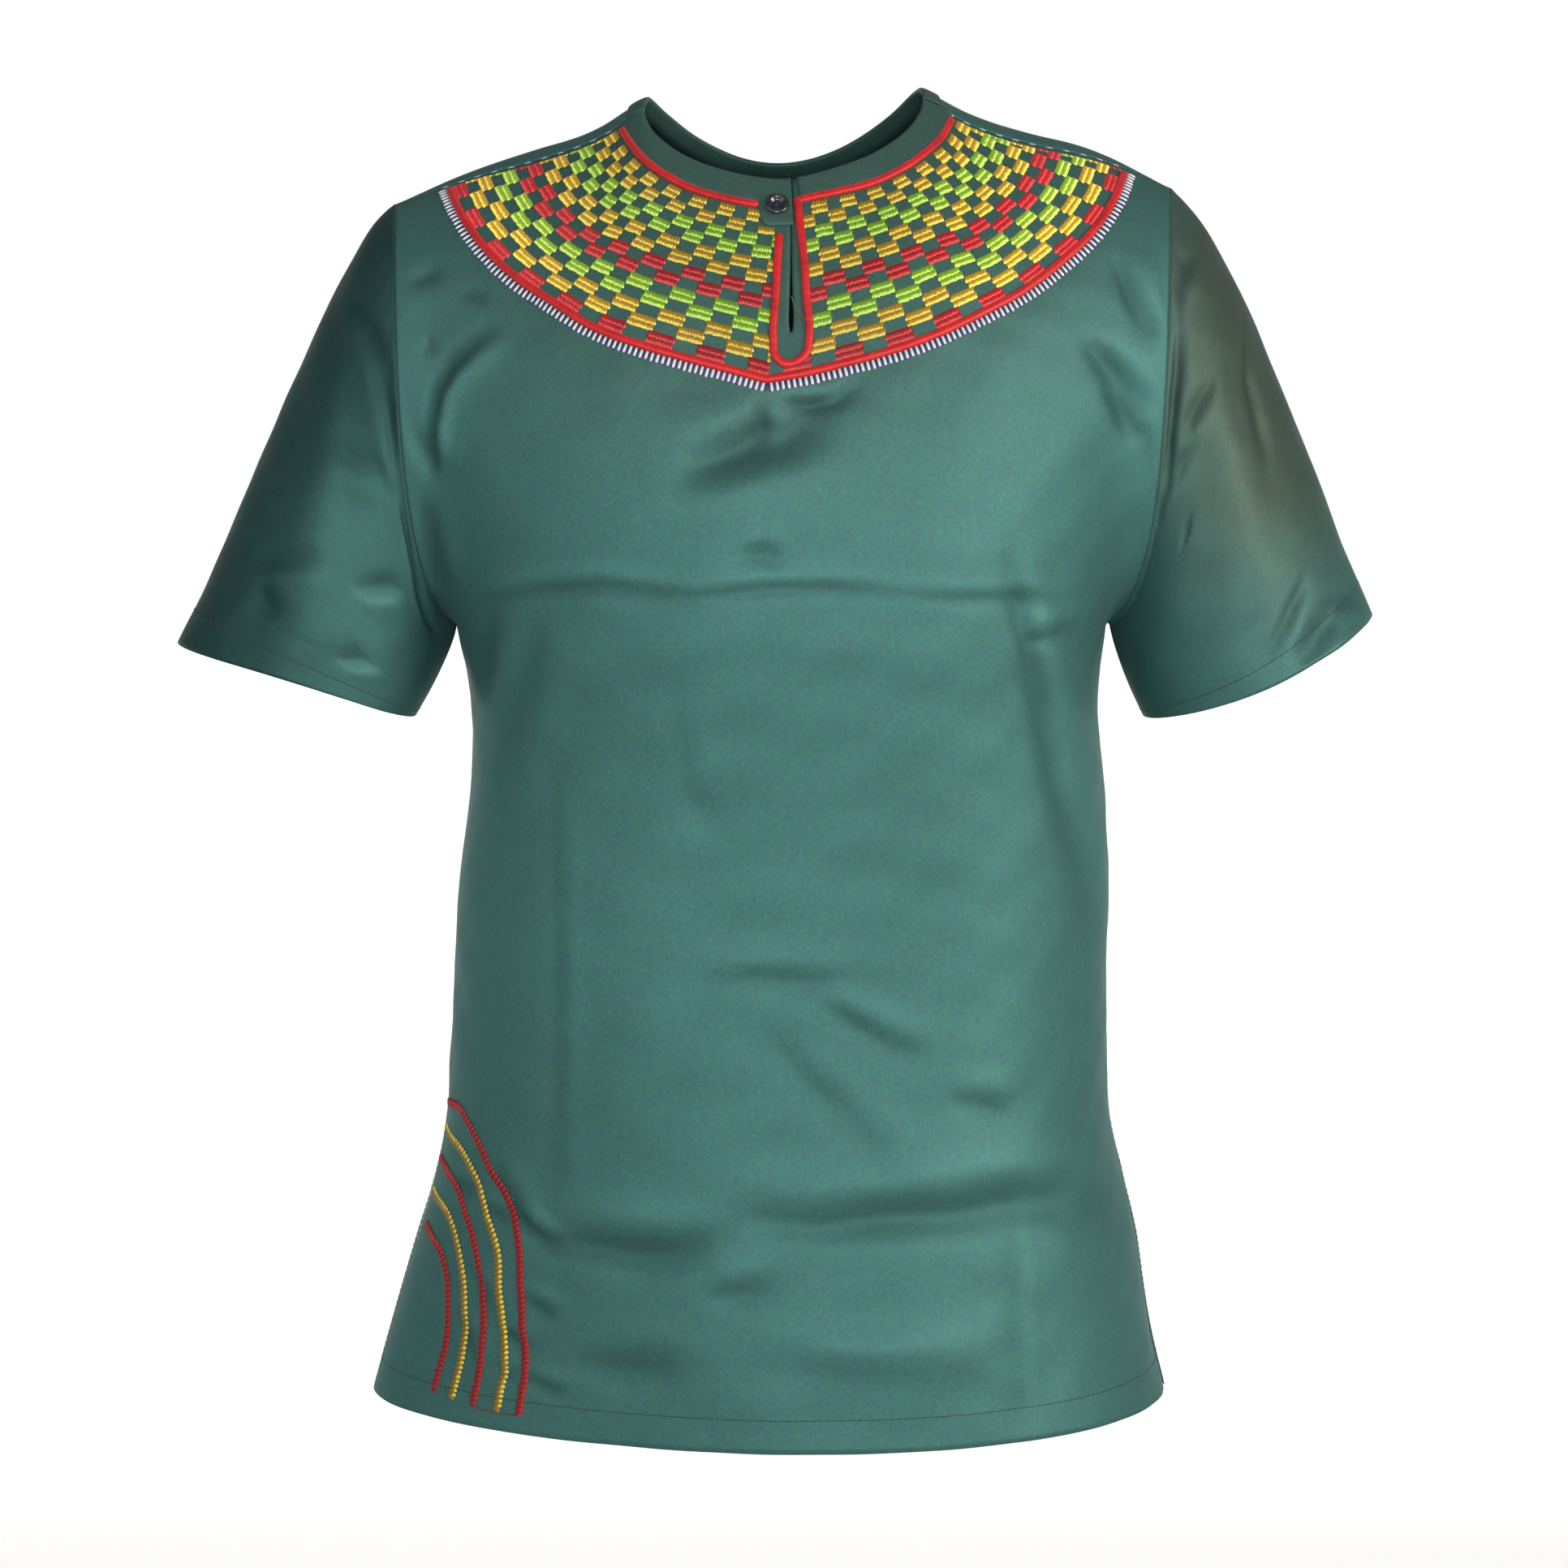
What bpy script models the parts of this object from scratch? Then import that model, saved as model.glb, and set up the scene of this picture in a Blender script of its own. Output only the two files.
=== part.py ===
"""Dashiki shirt: a hollow, worn short-sleeved shirt with a round neck, a keyhole slit
closed by one button, a corded yoke and side vents.

Metres, +Z up. The front faces -Y and the wearer's right sleeve is on -X. The origin is the
middle of the neck opening at the height of the shoulders, where a wearer holds the shirt up.
A panel is a surface of two parameters: s runs across it from the right side (-1) to the left
(+1), and v runs up it from the hem (0) over the armpit level (1) to the shoulder seam (2).
"""
import math

import bmesh
import bpy
import numpy as np
from mathutils import Vector

# ---------------------------------------------------------------- driving dimensions
WALL = 0.0012               # thickness of the cloth
SEAM_GAP = 0.0003           # clear space between two pieces at a seam
SHOULDER_TRIM = 0.0013      # how much a panel stops short of the shoulder seam, in v
SIDE_TRIM = 0.0008          # the same at a side seam, in s
SLEEVE_GAP = 0.0005         # clear space at an armhole, where the walls meet at an angle
HEM_Z = -0.7300             # height of the bottom edge
ARMPIT_Z = -0.2945          # height where the sleeves leave the body
VENT_TOP_Z = -0.5800        # upper end of both side vents
VENT_OPEN = 0.0140          # how far a vent stands open at the hem
NECK_S = 0.300              # |s| where the shoulder seam meets the neck edge
SLIT_X = 0.0037             # the keyhole slit's place across the front
SLIT_BOTTOM_Z = -0.1308     # the slit ends at the first row of points above this height
SLIT_WIDTH = 0.0019         # the slit's widest opening, near its lower end
SLIT_TOP_WIDTH = 0.0007     # the slit's opening at the neck edge
LIFT = 0.0005               # clear space under what is laid on a panel
RIDGE_LIFT = 0.0010         # the same under the back band, which bends over the shoulders
BAND_WIDTH = 0.0096         # the plain band round the neck edge
BAND_WALL = 0.0010
BAND_START = 0.0006         # how far the band stays in from the neck edge
CORD_WIDTH = 0.0044         # satin cords, flat below and round above
CORD_HEIGHT = 0.0018
CORD_STEP = 0.0060          # length of one straight stretch of a cord
BUTTON_RADIUS = 0.0061
BUTTON_HEIGHT = 0.0026
BUTTON_X, BUTTON_Z = -0.0036, -0.0655
TAB_X, TAB_Z = -0.0125, -0.0754     # outer edge and lower end of the button tab
TAB_CORNER = 0.0050         # radius of the tab's lower outer corner
FOLD_FADE = 0.06            # folds die out over this much of s beside a side seam

# Level sections of the body, from the hem to the armpit. right and left are the side seams'
# places along X, front and back the depths along Y, and tuck how far the front panel's left
# edge stays inside the back panel's along the vent. power is the squareness, 2 being an
# ellipse, and skew makes the left half of the front fuller than the right half.
BODY_SECTIONS = (
    # z,      right,   left,   front,  back,  tuck,   power, skew
    (-0.7300, -0.2325, 0.2160, 0.1275, 0.110, 0.0050, 1.90,  0.13),
    (-0.7000, -0.2241, 0.2085, 0.1268, 0.109, 0.0050, 1.94,  0.11),
    (-0.6700, -0.2154, 0.2030, 0.1258, 0.108, 0.0046, 2.00,  0.09),
    (-0.6400, -0.2063, 0.1985, 0.1245, 0.107, 0.0040, 2.08,  0.07),
    (-0.6100, -0.1968, 0.1913, 0.1232, 0.106, 0.0025, 2.15,  0.05),
    (-0.5800, -0.1897, 0.1838, 0.1220, 0.105, 0.0000, 2.20,  0.03),
    (-0.5200, -0.1850, 0.1800, 0.1190, 0.103, 0.0000, 2.28,  0.00),
    (-0.4400, -0.1806, 0.1790, 0.1170, 0.100, 0.0000, 2.35,  0.00),
    (-0.3800, -0.1732, 0.1765, 0.1190, 0.101, 0.0000, 2.35,  0.00),
    (-0.3400, -0.1722, 0.1730, 0.1225, 0.105, 0.0000, 2.35,  0.00),
    (-0.2945, -0.1795, 0.1775, 0.1270, 0.110, 0.0000, 2.35,  0.00),
)

# The shoulder seam from the right armhole to the left one. Between the two neck points it is
# the line that the panels would meet on if no neck were cut.
SHOULDER_SEAM = (
    # s,     x,       y,       z
    (-1.00, -0.2110, -0.0040, -0.0665),
    (-0.80, -0.1740, -0.0080, -0.0535),
    (-0.60, -0.1350, -0.0130, -0.0430),
    (-0.42, -0.0990, -0.0190, -0.0300),
    (-0.30, -0.0753, -0.0210, -0.0160),
    (-0.15, -0.0390, -0.0220, -0.0070),
    (0.000, 0.0000, -0.0230, -0.0040),
    (0.150, 0.0390, -0.0220, -0.0030),
    (0.300, 0.0750, -0.0210, -0.0105),
    (0.420, 0.1000, -0.0190, -0.0230),
    (0.600, 0.1360, -0.0130, -0.0340),
    (0.800, 0.1740, -0.0080, -0.0430),
    (1.000, 0.2090, -0.0040, -0.0575),
)

# How the panels rise from the armpit level to the shoulder seam: the directions in which a
# column leaves and arrives. y is away from the body's middle plane; x is outward.
FRONT_RISE = (
    # |s|,  leave x, y,      z,      arrive x, y,      z
    (0.00,  0.000,   0.0200, 0.2900,  0.000, -0.2900, 0.2300),
    (0.30,  0.000,   0.0200, 0.2900,  0.000, -0.2900, 0.2000),
    (0.60,  0.000,   0.0400, 0.2700,  0.000, -0.2900, 0.1500),
    (0.85,  0.040,   0.1300, 0.1800, -0.005, -0.2500, 0.1000),
    (1.00,  0.100,   0.2300, 0.0600,  0.020, -0.2300, 0.0500),
)
BACK_RISE = (
    # |s|,  leave x, y,      z,      arrive x, y,       z
    (0.00,  0.000,   0.0150, 0.3600,  0.000, -0.3300, -0.1300),
    (0.30,  0.000,   0.0150, 0.3600,  0.000, -0.3300, -0.1300),
    (0.60,  0.000,   0.0300, 0.3400,  0.000, -0.3100, -0.1100),
    (0.85,  0.040,   0.1200, 0.2200, -0.005, -0.2600, -0.0800),
    (1.00,  0.100,   0.2300, 0.0600,  0.020, -0.2300, -0.0300),
)

# How far down a column the neck is cut, in v, at the middle of the front and of the back,
# and how fast the cut deepens away from the neck points.
NECK_CUTS = {
    # face: depth, power
    -1: (0.191, 0.60),
    1: (0.378, 0.40),
}

# Cords, by their places across and up the front. Each row is a bend that the cord passes.
NECK_CORD_RIGHT = (
    # x,      z
    (-0.0869, -0.0255),
    (-0.0780, -0.0374),
    (-0.0651, -0.0478),
    (-0.0466, -0.0568),
    (-0.0286, -0.0617),
    (-0.0145, -0.0643),
)
NECK_CORD_LEFT = (
    # x,      z
    (0.0896, -0.0202),
    (0.0838, -0.0297),
    (0.0704, -0.0409),
    (0.0509, -0.0509),
    (0.0252, -0.0584),
    (0.0102, -0.0620),
)
KEYHOLE_CORD = (
    # x,      z
    (0.0070, -0.0608),
    (0.0085, -0.0750),
    (0.0102, -0.0895),
    (0.0118, -0.1109),
    (0.0131, -0.1310),
    (0.0118, -0.1395),
    (0.0060, -0.1446),
    (0.0000, -0.1452),
    (-0.0043, -0.1415),
    (-0.0055, -0.1324),
    (-0.0043, -0.1109),
    (-0.0034, -0.0924),
    (-0.0024, -0.0790),
)
YOKE_BORDER = (
    # x,      z
    (-0.1806, -0.0572),
    (-0.1690, -0.0755),
    (-0.1559, -0.0904),
    (-0.1406, -0.1031),
    (-0.1233, -0.1136),
    (-0.1002, -0.1269),
    (-0.0749, -0.1360),
    (-0.0460, -0.1437),
    (-0.0257, -0.1490),
    (-0.0089, -0.1535),
    (0.0101, -0.1502),
    (0.0312, -0.1453),
    (0.0694, -0.1343),
    (0.1015, -0.1210),
    (0.1276, -0.1077),
    (0.1449, -0.0955),
    (0.1611, -0.0819),
    (0.1752, -0.0645),
    (0.1835, -0.0488),
)

# Sleeves: the cuff's outer and inner corners, how its front edge hangs below the line between
# them, how far the shoulder line runs on before it bends down, in sleeve lengths, and how
# steeply the sleeve runs out at the cuff.
SLEEVES = {
    # side: outer x, z,        inner x, z,      drop,   reach, flare
    -1: (-0.3344, -0.3048, -0.2033, -0.3464, -0.006, 0.46, 0.49),
    1: (0.3238, -0.2899, 0.1984, -0.3465, 0.006, 0.51, 0.42),
}
CUFF_DEPTH = 0.0560         # half the cuff's opening from front to back
CUFF_POWER = 1.9
LEAVE_TOP = (0.84, -0.60)   # direction in which a sleeve leaves the shoulder: outward, up
LEAVE_UNDER = (0.22, -0.97)     # direction in which it leaves the armpit

# Largest folds, laid on the front and back by their two ends: depth below 0 is a trough.
FOLDS = (
    # panel, x0,     z0,      x1,     z1,      width,  depth
    ("front", -0.050, -0.215, 0.026, -0.178, 0.0130, -0.0035),
    ("front", -0.190, -0.160, -0.140, -0.125, 0.0110, -0.0030),
    ("front", -0.172, -0.150, -0.155, -0.215, 0.0110, 0.0030),
    ("front", 0.200, -0.150, 0.186, -0.215, 0.0110, -0.0030),
    ("front", -0.125, -0.345, -0.140, -0.460, 0.0130, -0.0025),
    ("front", 0.122, -0.300, 0.150, -0.470, 0.0130, -0.0030),
    ("front", 0.010, -0.600, 0.160, -0.590, 0.0120, -0.0050),
    ("front", -0.120, -0.612, -0.020, -0.618, 0.0120, -0.0045),
    ("front", 0.010, -0.640, 0.120, -0.655, 0.0140, 0.0035),
    ("front", 0.010, -0.500, 0.080, -0.570, 0.0120, -0.0020),
    ("front", -0.110, -0.680, -0.050, -0.672, 0.0140, -0.0030),
    ("back", -0.130, -0.120, -0.080, -0.260, 0.0150, -0.0035),
    ("back", 0.130, -0.120, 0.085, -0.260, 0.0150, -0.0035),
    ("back", -0.120, -0.480, 0.110, -0.500, 0.0140, -0.0045),
    ("back", -0.080, -0.560, 0.130, -0.580, 0.0140, 0.0040),
    ("back", -0.140, -0.640, 0.060, -0.625, 0.0140, -0.0040),
)

# Grid sizes
FRONT_COLUMNS, FRONT_ROWS_BELOW, FRONT_ROWS_ABOVE = 34, 14, 15
BACK_COLUMNS, BACK_ROWS_BELOW, BACK_ROWS_ABOVE = 26, 12, 15
NECK_SHARE = 0.42           # share of a panel's columns that lie between the neck points
NECK_SPREAD = 1.2           # how much they crowd towards the neck points
SIDE_SPREAD = 1.25          # the same for the columns outside them
SLEEVE_AROUND, SLEEVE_ALONG = 26, 12
BAND_ROWS = 3
BUTTON_SIDES = 20

# Where the bands' columns lie round the neck edge, from -1 at the right neck point to +1.
TAB_TURNS = (-0.115, -0.106, -0.103, -0.095, -0.08, -0.05, -0.01, 0.03)
RIGHT_TURNS = (*np.linspace(-1, -0.15, 14), *TAB_TURNS)
LEFT_TURNS = tuple(np.linspace(0.065, 1, 16))
BACK_TURNS = tuple(np.linspace(-1, 1, 25))


# ---------------------------------------------------------------- small mathematics
def column(table, index):
    return np.array([row[index] for row in table], dtype=float)


def smooth_at(table, index, key):
    """Value of one column of a table at a key in its first column, on a smooth curve."""
    keys = column(table, 0)
    values = column(table, index)
    slopes = np.gradient(values, keys)
    key = min(max(key, keys[0]), keys[-1])
    row = int(min(max(np.searchsorted(keys, key) - 1, 0), len(keys) - 2))
    span = keys[row + 1] - keys[row]
    t = (key - keys[row]) / span
    return hermite(values[row], slopes[row] * span, values[row + 1], slopes[row + 1] * span, t)


def hermite(start, leave, end, arrive, t):
    a = 2 * t ** 3 - 3 * t ** 2 + 1
    b = t ** 3 - 2 * t ** 2 + t
    c = -2 * t ** 3 + 3 * t ** 2
    d = t ** 3 - t ** 2
    return start * a + leave * b + end * c + arrive * d


def superellipse(angle, power):
    """Point of a unit superellipse at an angle, as (sine side, cosine side)."""
    sine, cosine = math.sin(angle), math.cos(angle)
    radius = (abs(sine) ** power + abs(cosine) ** power) ** (-1 / power)
    return radius * sine, radius * cosine


def soft_step(t):
    t = min(max(t, 0.0), 1.0)
    return t * t * (3 - 2 * t)


# ---------------------------------------------------------------- the body's surface
def body_section(face, s, z):
    """Point of the tube part of the body; face is -1 for the front and +1 for the back."""
    right = smooth_at(BODY_SECTIONS, 1, z)
    left = smooth_at(BODY_SECTIONS, 2, z)
    depth = smooth_at(BODY_SECTIONS, 3 if face < 0 else 4, z)
    if face < 0:
        left -= smooth_at(BODY_SECTIONS, 5, z)
    opening = 0.5 * VENT_OPEN * soft_step((VENT_TOP_Z - z) / (VENT_TOP_Z - HEM_Z))
    opening += 0.5 * SEAM_GAP
    across, out = superellipse(s * math.pi / 2, smooth_at(BODY_SECTIONS, 6, z))
    if face < 0:
        out *= 1 + smooth_at(BODY_SECTIONS, 7, z) * across
    x = 0.5 * (left + right) + 0.5 * (left - right) * across
    y = face * (opening + (depth - opening) * out)
    return np.array((x, y, z))


def seam_point(s):
    return np.array([smooth_at(SHOULDER_SEAM, i, s) for i in (1, 2, 3)])


def rise_vectors(face, s):
    table = FRONT_RISE if face < 0 else BACK_RISE
    side = math.copysign(1.0, s)
    values = [smooth_at(table, i, abs(s)) for i in range(1, 7)]
    leave = np.array((side * values[0], face * values[1], values[2]))
    arrive = np.array((side * values[3], face * values[4], values[5]))
    return leave, arrive


def neck_cut(face, s):
    """How much of a column's top the neck takes away, in v."""
    if abs(s) >= NECK_S:
        return 0.0
    depth, power = NECK_CUTS[face]
    return depth * (1 - (s / NECK_S) ** 2) ** power


def body_base(face, s, v):
    """Smooth outer surface of the front or the back, before its folds."""
    if v <= 1:
        return body_section(face, s, HEM_Z + (ARMPIT_Z - HEM_Z) * v)
    start = body_section(face, s, ARMPIT_Z)
    end = seam_point(s)
    leave, arrive = rise_vectors(face, s)
    return hermite(start, leave, end, arrive, v - 1)


def surface_normal(face, s, v):
    step = 1e-3
    low_v, high_v = max(v - step, 0.0), min(v + step, 2.0)
    if v > 1 > low_v:
        low_v = 1.0
    across = body_base(face, min(s + step, 1), v) - body_base(face, max(s - step, -1), v)
    up = body_base(face, s, high_v) - body_base(face, s, low_v)
    normal = np.cross(across, up) * -face
    return normal / np.linalg.norm(normal)


def fold_height(face, x, z):
    """Height of the folds at a place seen from the front, above the smooth surface."""
    name = "front" if face < 0 else "back"
    total = 0.0
    for panel, x0, z0, x1, z1, width, depth in FOLDS:
        if panel != name:
            continue
        run = np.array((x1 - x0, z1 - z0))
        length = math.hypot(*run)
        along = ((x - x0) * run[0] + (z - z0) * run[1]) / length ** 2
        nearest = min(max(along, 0.0), 1.0)
        away = math.hypot(x - x0 - nearest * run[0], z - z0 - nearest * run[1])
        fade = 0.35 + 0.65 * math.sin(math.pi * nearest)
        total += depth * fade * math.exp(-(away / width) ** 2)
    return total


def body_point(face, s, v, lift=0.0):
    point = body_base(face, s, v)
    normal = surface_normal(face, s, v)
    edge = soft_step((1 - abs(s)) / FOLD_FADE)
    height = fold_height(face, point[0], point[2]) * edge
    return point + normal * (height + lift)


def front_place(x, z):
    """Parameters (s, v) of the front's point that is seen at (x, z)."""
    s, v = x / 0.2, 1.5
    step = 1e-4
    for _ in range(12):
        here = body_base(-1, s, v)
        off = np.array((x - here[0], z - here[2]))
        ds = (body_base(-1, s + step, v) - here) / step
        dv = (body_base(-1, s, v + step) - here) / step
        ds, dv = np.linalg.solve(np.array(((ds[0], dv[0]), (ds[2], dv[2]))), off)
        s = min(max(s + ds, -0.999), 0.999)
        v = min(max(v + dv, 0.0), 1.9995)
    return s, v


# ---------------------------------------------------------------- mesh building
def new_object(name, bm, material):
    mesh = bpy.data.meshes.new(name)
    bm.to_mesh(mesh)
    bm.free()
    mesh.materials.append(material)
    part = bpy.data.objects.new(name, mesh)
    bpy.context.collection.objects.link(part)
    mesh.shade_smooth()
    return part


def grid(columns, rows):
    """A flat grid over 0…1 in x and y, ready to be mapped."""
    bm = bmesh.new()
    bmesh.ops.create_grid(bm, x_segments=columns, y_segments=rows, size=0.5)
    bmesh.ops.translate(bm, verts=bm.verts, vec=(0.5, 0.5, 0.0))
    return bm


def give_wall(part, thickness, outward=False):
    """Thickens a surface to one side of it."""
    wall = part.modifiers.new("wall", "SOLIDIFY")
    wall.thickness = thickness
    wall.offset = 1 if outward else -1
    wall.use_even_offset = True


def plain_material(name, colour, roughness):
    material = bpy.data.materials.new(name)
    material.use_nodes = True
    shader = material.node_tree.nodes["Principled BSDF"]
    shader.inputs["Base Color"].default_value = (*colour, 1)
    shader.inputs["Roughness"].default_value = roughness
    return material


def green_cotton():
    return plain_material("green_cotton", (0.05, 0.13, 0.115), 0.72)


def red_satin():
    return plain_material("red_satin", (0.55, 0.02, 0.02), 0.45)


def black_button():
    return plain_material("black_button", (0.01, 0.01, 0.012), 0.25)


def column_places(count):
    """Values of s from -1 to 1, closer together beside the neck's corners."""
    inner = int(round(count * NECK_SHARE / 2)) * 2
    outer = (count - inner) // 2
    sides = [NECK_S + (1 - NECK_S) * (i / outer) ** SIDE_SPREAD for i in range(1, outer + 1)]
    places = [-s for s in reversed(sides)]
    for i in range(inner + 1):
        turn = NECK_SPREAD * (2 * i / inner - 1)
        places.append(NECK_S * math.sin(turn) / math.sin(NECK_SPREAD))
    return places + sides


def row_level(face, s, fraction):
    """v of a row that lies a fraction of the way up the part above the armpit."""
    return 1 + fraction * (1 - neck_cut(face, s))


def build_panel(name, face, columns, rows_below, rows_above, material):
    """One panel from hem to shoulder seam, trimmed at the neck and at the seams."""
    places = column_places(columns)
    rows = rows_below + rows_above
    bm = grid(columns, rows)
    slit = []
    for vert in bm.verts:
        i = int(round(vert.co.x * columns))
        j = int(round(vert.co.y * rows))
        s = places[i] * (1 - SIDE_TRIM)
        if j <= rows_below:
            v = j / rows_below
        else:
            v = row_level(face, s, (j - rows_below) / rows_above)
            v -= SHOULDER_TRIM * (v - 1) ** 4
        vert.co = body_point(face, s, v)
        if face < 0 and i == columns // 2 and vert.co.z > SLIT_BOTTOM_Z:
            slit.append(vert)
    if face < 0:
        open_slit(bm, slit)
    bmesh.ops.triangulate(bm, faces=bm.faces, quad_method="SHORT_EDGE")
    turn_outward(bm, face)
    part = new_object(name, bm, material)
    give_wall(part, WALL)
    return part


def open_slit(bm, verts):
    """Cuts the keyhole slit along a column of vertices, which it moves to the slit's line."""
    verts.sort(key=lambda vert: vert.co.z)
    bottom = verts[0].co.z
    top = verts[-1].co.z
    for vert in verts:
        vert.co.x = SLIT_X
    lengths = {}
    chosen = set(verts)
    edges = [e for e in bm.edges if e.verts[0] in chosen and e.verts[1] in chosen]
    bmesh.ops.split_edges(bm, edges=edges)
    for vert in bm.verts:
        if abs(vert.co.x - SLIT_X) > 1e-6 or vert.co.z < bottom + 1e-6 or vert.co.y > 0:
            continue
        centre = sum((f.calc_center_median().x for f in vert.link_faces)) / len(vert.link_faces)
        lengths[vert] = math.copysign(1, centre - SLIT_X)
    for vert, side in lengths.items():
        up = (vert.co.z - bottom) / (top - bottom)
        width = SLIT_TOP_WIDTH + (SLIT_WIDTH - SLIT_TOP_WIDTH) * (1 - up)
        vert.co.x += side * 0.5 * width


def clear_scene():
    for item in list(bpy.data.objects):
        bpy.data.objects.remove(item)


# ---------------------------------------------------------------- pieces laid on a panel
def tangents(face, s, v):
    step = 1e-3
    across = body_base(face, s + step, v) - body_base(face, s - step, v)
    up = body_base(face, s, min(v + step, 2)) - body_base(face, s, v - step)
    return across / (2 * step), up / (min(v + step, 2) - v + step)


def walk(face, s, v, direction, distance):
    """Place reached from (s, v) by going a distance over the panel in a direction."""
    steps = 5
    for _ in range(steps):
        across, up = tangents(face, s, v)
        matrix = np.stack((across, up), axis=1)
        move = np.linalg.lstsq(matrix, direction * distance / steps, rcond=None)[0]
        s += move[0]
        v = min(v + move[1], 2 - SHOULDER_TRIM)
    return s, v


def neck_edge(face, turn):
    """Place on the neck edge, turn going from -1 at the right neck point to +1."""
    s = NECK_S * math.sin(turn * math.pi / 2)
    return s, min(2 - neck_cut(face, s), 2 - SHOULDER_TRIM)


def neck_outward(face, turn):
    """Direction over the panel away from the neck opening, square to its edge."""
    low = body_base(face, *neck_edge(face, max(turn - 0.02, -1)))
    high = body_base(face, *neck_edge(face, min(turn + 0.02, 1)))
    along = (high - low) / np.linalg.norm(high - low)
    normal = surface_normal(face, *neck_edge(face, turn))
    return np.cross(normal, along) * face


def build_band(name, face, turns, material, lift=LIFT, tab=False):
    """A band laid round part of the neck edge, with the button tab at its end if asked."""
    bm = grid(len(turns) - 1, BAND_ROWS)
    for vert in bm.verts:
        turn = turns[int(round(vert.co.x * (len(turns) - 1)))]
        out = neck_outward(face, turn)
        start = walk(face, *neck_edge(face, turn), out, BAND_START)
        end = walk(face, *start, out, BAND_WIDTH)
        here = body_base(face, *end)
        if tab and here[0] > TAB_X:
            curve = max(TAB_X + TAB_CORNER - here[0], 0)
            rise = TAB_CORNER - math.sqrt(TAB_CORNER ** 2 - curve ** 2)
            end = front_place(here[0], TAB_Z + rise)
        share = round(vert.co.y * BAND_ROWS) / BAND_ROWS
        s = start[0] + (end[0] - start[0]) * share
        v = start[1] + (end[1] - start[1]) * share
        vert.co = body_point(face, s, v, lift)
    turn_outward(bm, face)
    part = new_object(name, bm, material)
    give_wall(part, BAND_WALL, outward=True)
    return part


def turn_outward(bm, face):
    """Makes a sheet's faces point away from the body."""
    bmesh.ops.recalc_face_normals(bm, faces=bm.faces)
    if sum(f.normal.y for f in bm.faces) * face < 0:
        bmesh.ops.reverse_faces(bm, faces=bm.faces)


def route(table):
    """Points about one cord step apart on a smooth curve through a table's places."""
    x, z = column(table, 0), column(table, 1)
    length = np.concatenate(((0,), np.cumsum(np.hypot(np.diff(x), np.diff(z)))))
    rows_x = tuple(zip(length, x))
    rows_z = tuple(zip(length, z))
    count = int(round(length[-1] / CORD_STEP))
    places = np.linspace(0, length[-1], count + 1)
    return [(smooth_at(rows_x, 1, p), smooth_at(rows_z, 1, p)) for p in places]


def build_cord(name, table, material):
    """A satin cord on the front: a row of half-round sections joined into one body."""
    half = 0.5 * CORD_WIDTH
    profile = ((-1.0, 0.0), (-0.85, 0.65), (-0.35, 1.0), (0.35, 1.0), (0.85, 0.65), (1.0, 0.0))
    places = [front_place(x, z) for x, z in route(table)]
    centres = [body_point(-1, s, v, LIFT) for s, v in places]
    bm = bmesh.new()
    rings = []
    for i, (s, v) in enumerate(places):
        ahead = centres[min(i + 1, len(centres) - 1)] - centres[max(i - 1, 0)]
        normal = surface_normal(-1, s, v)
        side = np.cross(ahead, normal)
        side /= np.linalg.norm(side)
        ring = []
        for across, high in profile:
            spot = centres[i] + side * across * half + normal * high * CORD_HEIGHT
            ring.append(bm.verts.new(spot))
        rings.append(ring)
    for ring, following in zip(rings, rings[1:]):
        for k in range(len(profile)):
            nxt = (k + 1) % len(profile)
            bm.faces.new((ring[k], ring[nxt], following[nxt], following[k]))
    bm.faces.new(rings[0])
    bm.faces.new(rings[-1])
    bmesh.ops.recalc_face_normals(bm, faces=bm.faces)
    return new_object(name, bm, material)


def build_button(name, material):
    """A round shirt button with a raised rim, turned about the panel's normal."""
    s, v = front_place(BUTTON_X, BUTTON_Z)
    normal = Vector(surface_normal(-1, s, v))
    base = Vector(body_point(-1, s, v, 2 * LIFT + BAND_WALL))
    profile = ((0.0, 0.0), (0.72, 0.0), (1.0, 0.35), (1.0, 0.75), (0.88, 1.0), (0.66, 0.95),
               (0.54, 0.55), (0.0, 0.48))
    bm = bmesh.new()
    verts = [bm.verts.new((r * BUTTON_RADIUS, 0, h * BUTTON_HEIGHT)) for r, h in profile]
    edges = [bm.edges.new(pair) for pair in zip(verts, verts[1:])]
    bmesh.ops.spin(bm, geom=verts + edges, cent=(0, 0, 0), axis=(0, 0, 1),
                   angle=2 * math.pi, steps=BUTTON_SIDES, use_merge=True)
    bmesh.ops.remove_doubles(bm, verts=bm.verts, dist=1e-6)
    bmesh.ops.recalc_face_normals(bm, faces=bm.faces)
    turn = normal.to_track_quat("Z", "Y").to_matrix().to_4x4()
    bmesh.ops.transform(bm, matrix=turn, verts=bm.verts)
    bmesh.ops.translate(bm, verts=bm.verts, vec=base)
    return new_object(name, bm, material)


# ---------------------------------------------------------------- sleeves
def armhole_point(side, turn):
    """Point of an armhole: turn 0 is the shoulder, 0.25 the front, 0.5 the armpit."""
    face = -1 if turn <= 0.5 else 1
    up = 1 - 2 * turn if turn <= 0.5 else 2 * turn - 1
    return body_base(face, side, 1 + up)


def cuff_point(side, turn):
    outer_x, outer_z, inner_x, inner_z, drop = SLEEVES[side][:5]
    across, out = superellipse(turn * 2 * math.pi, CUFF_POWER)
    x = 0.5 * (outer_x + inner_x) + 0.5 * (outer_x - inner_x) * out
    z = 0.5 * (outer_z + inner_z) + 0.5 * (outer_z - inner_z) * out
    return np.array((x, -CUFF_DEPTH * across, z - drop * max(across, 0) ** 2))


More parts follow.
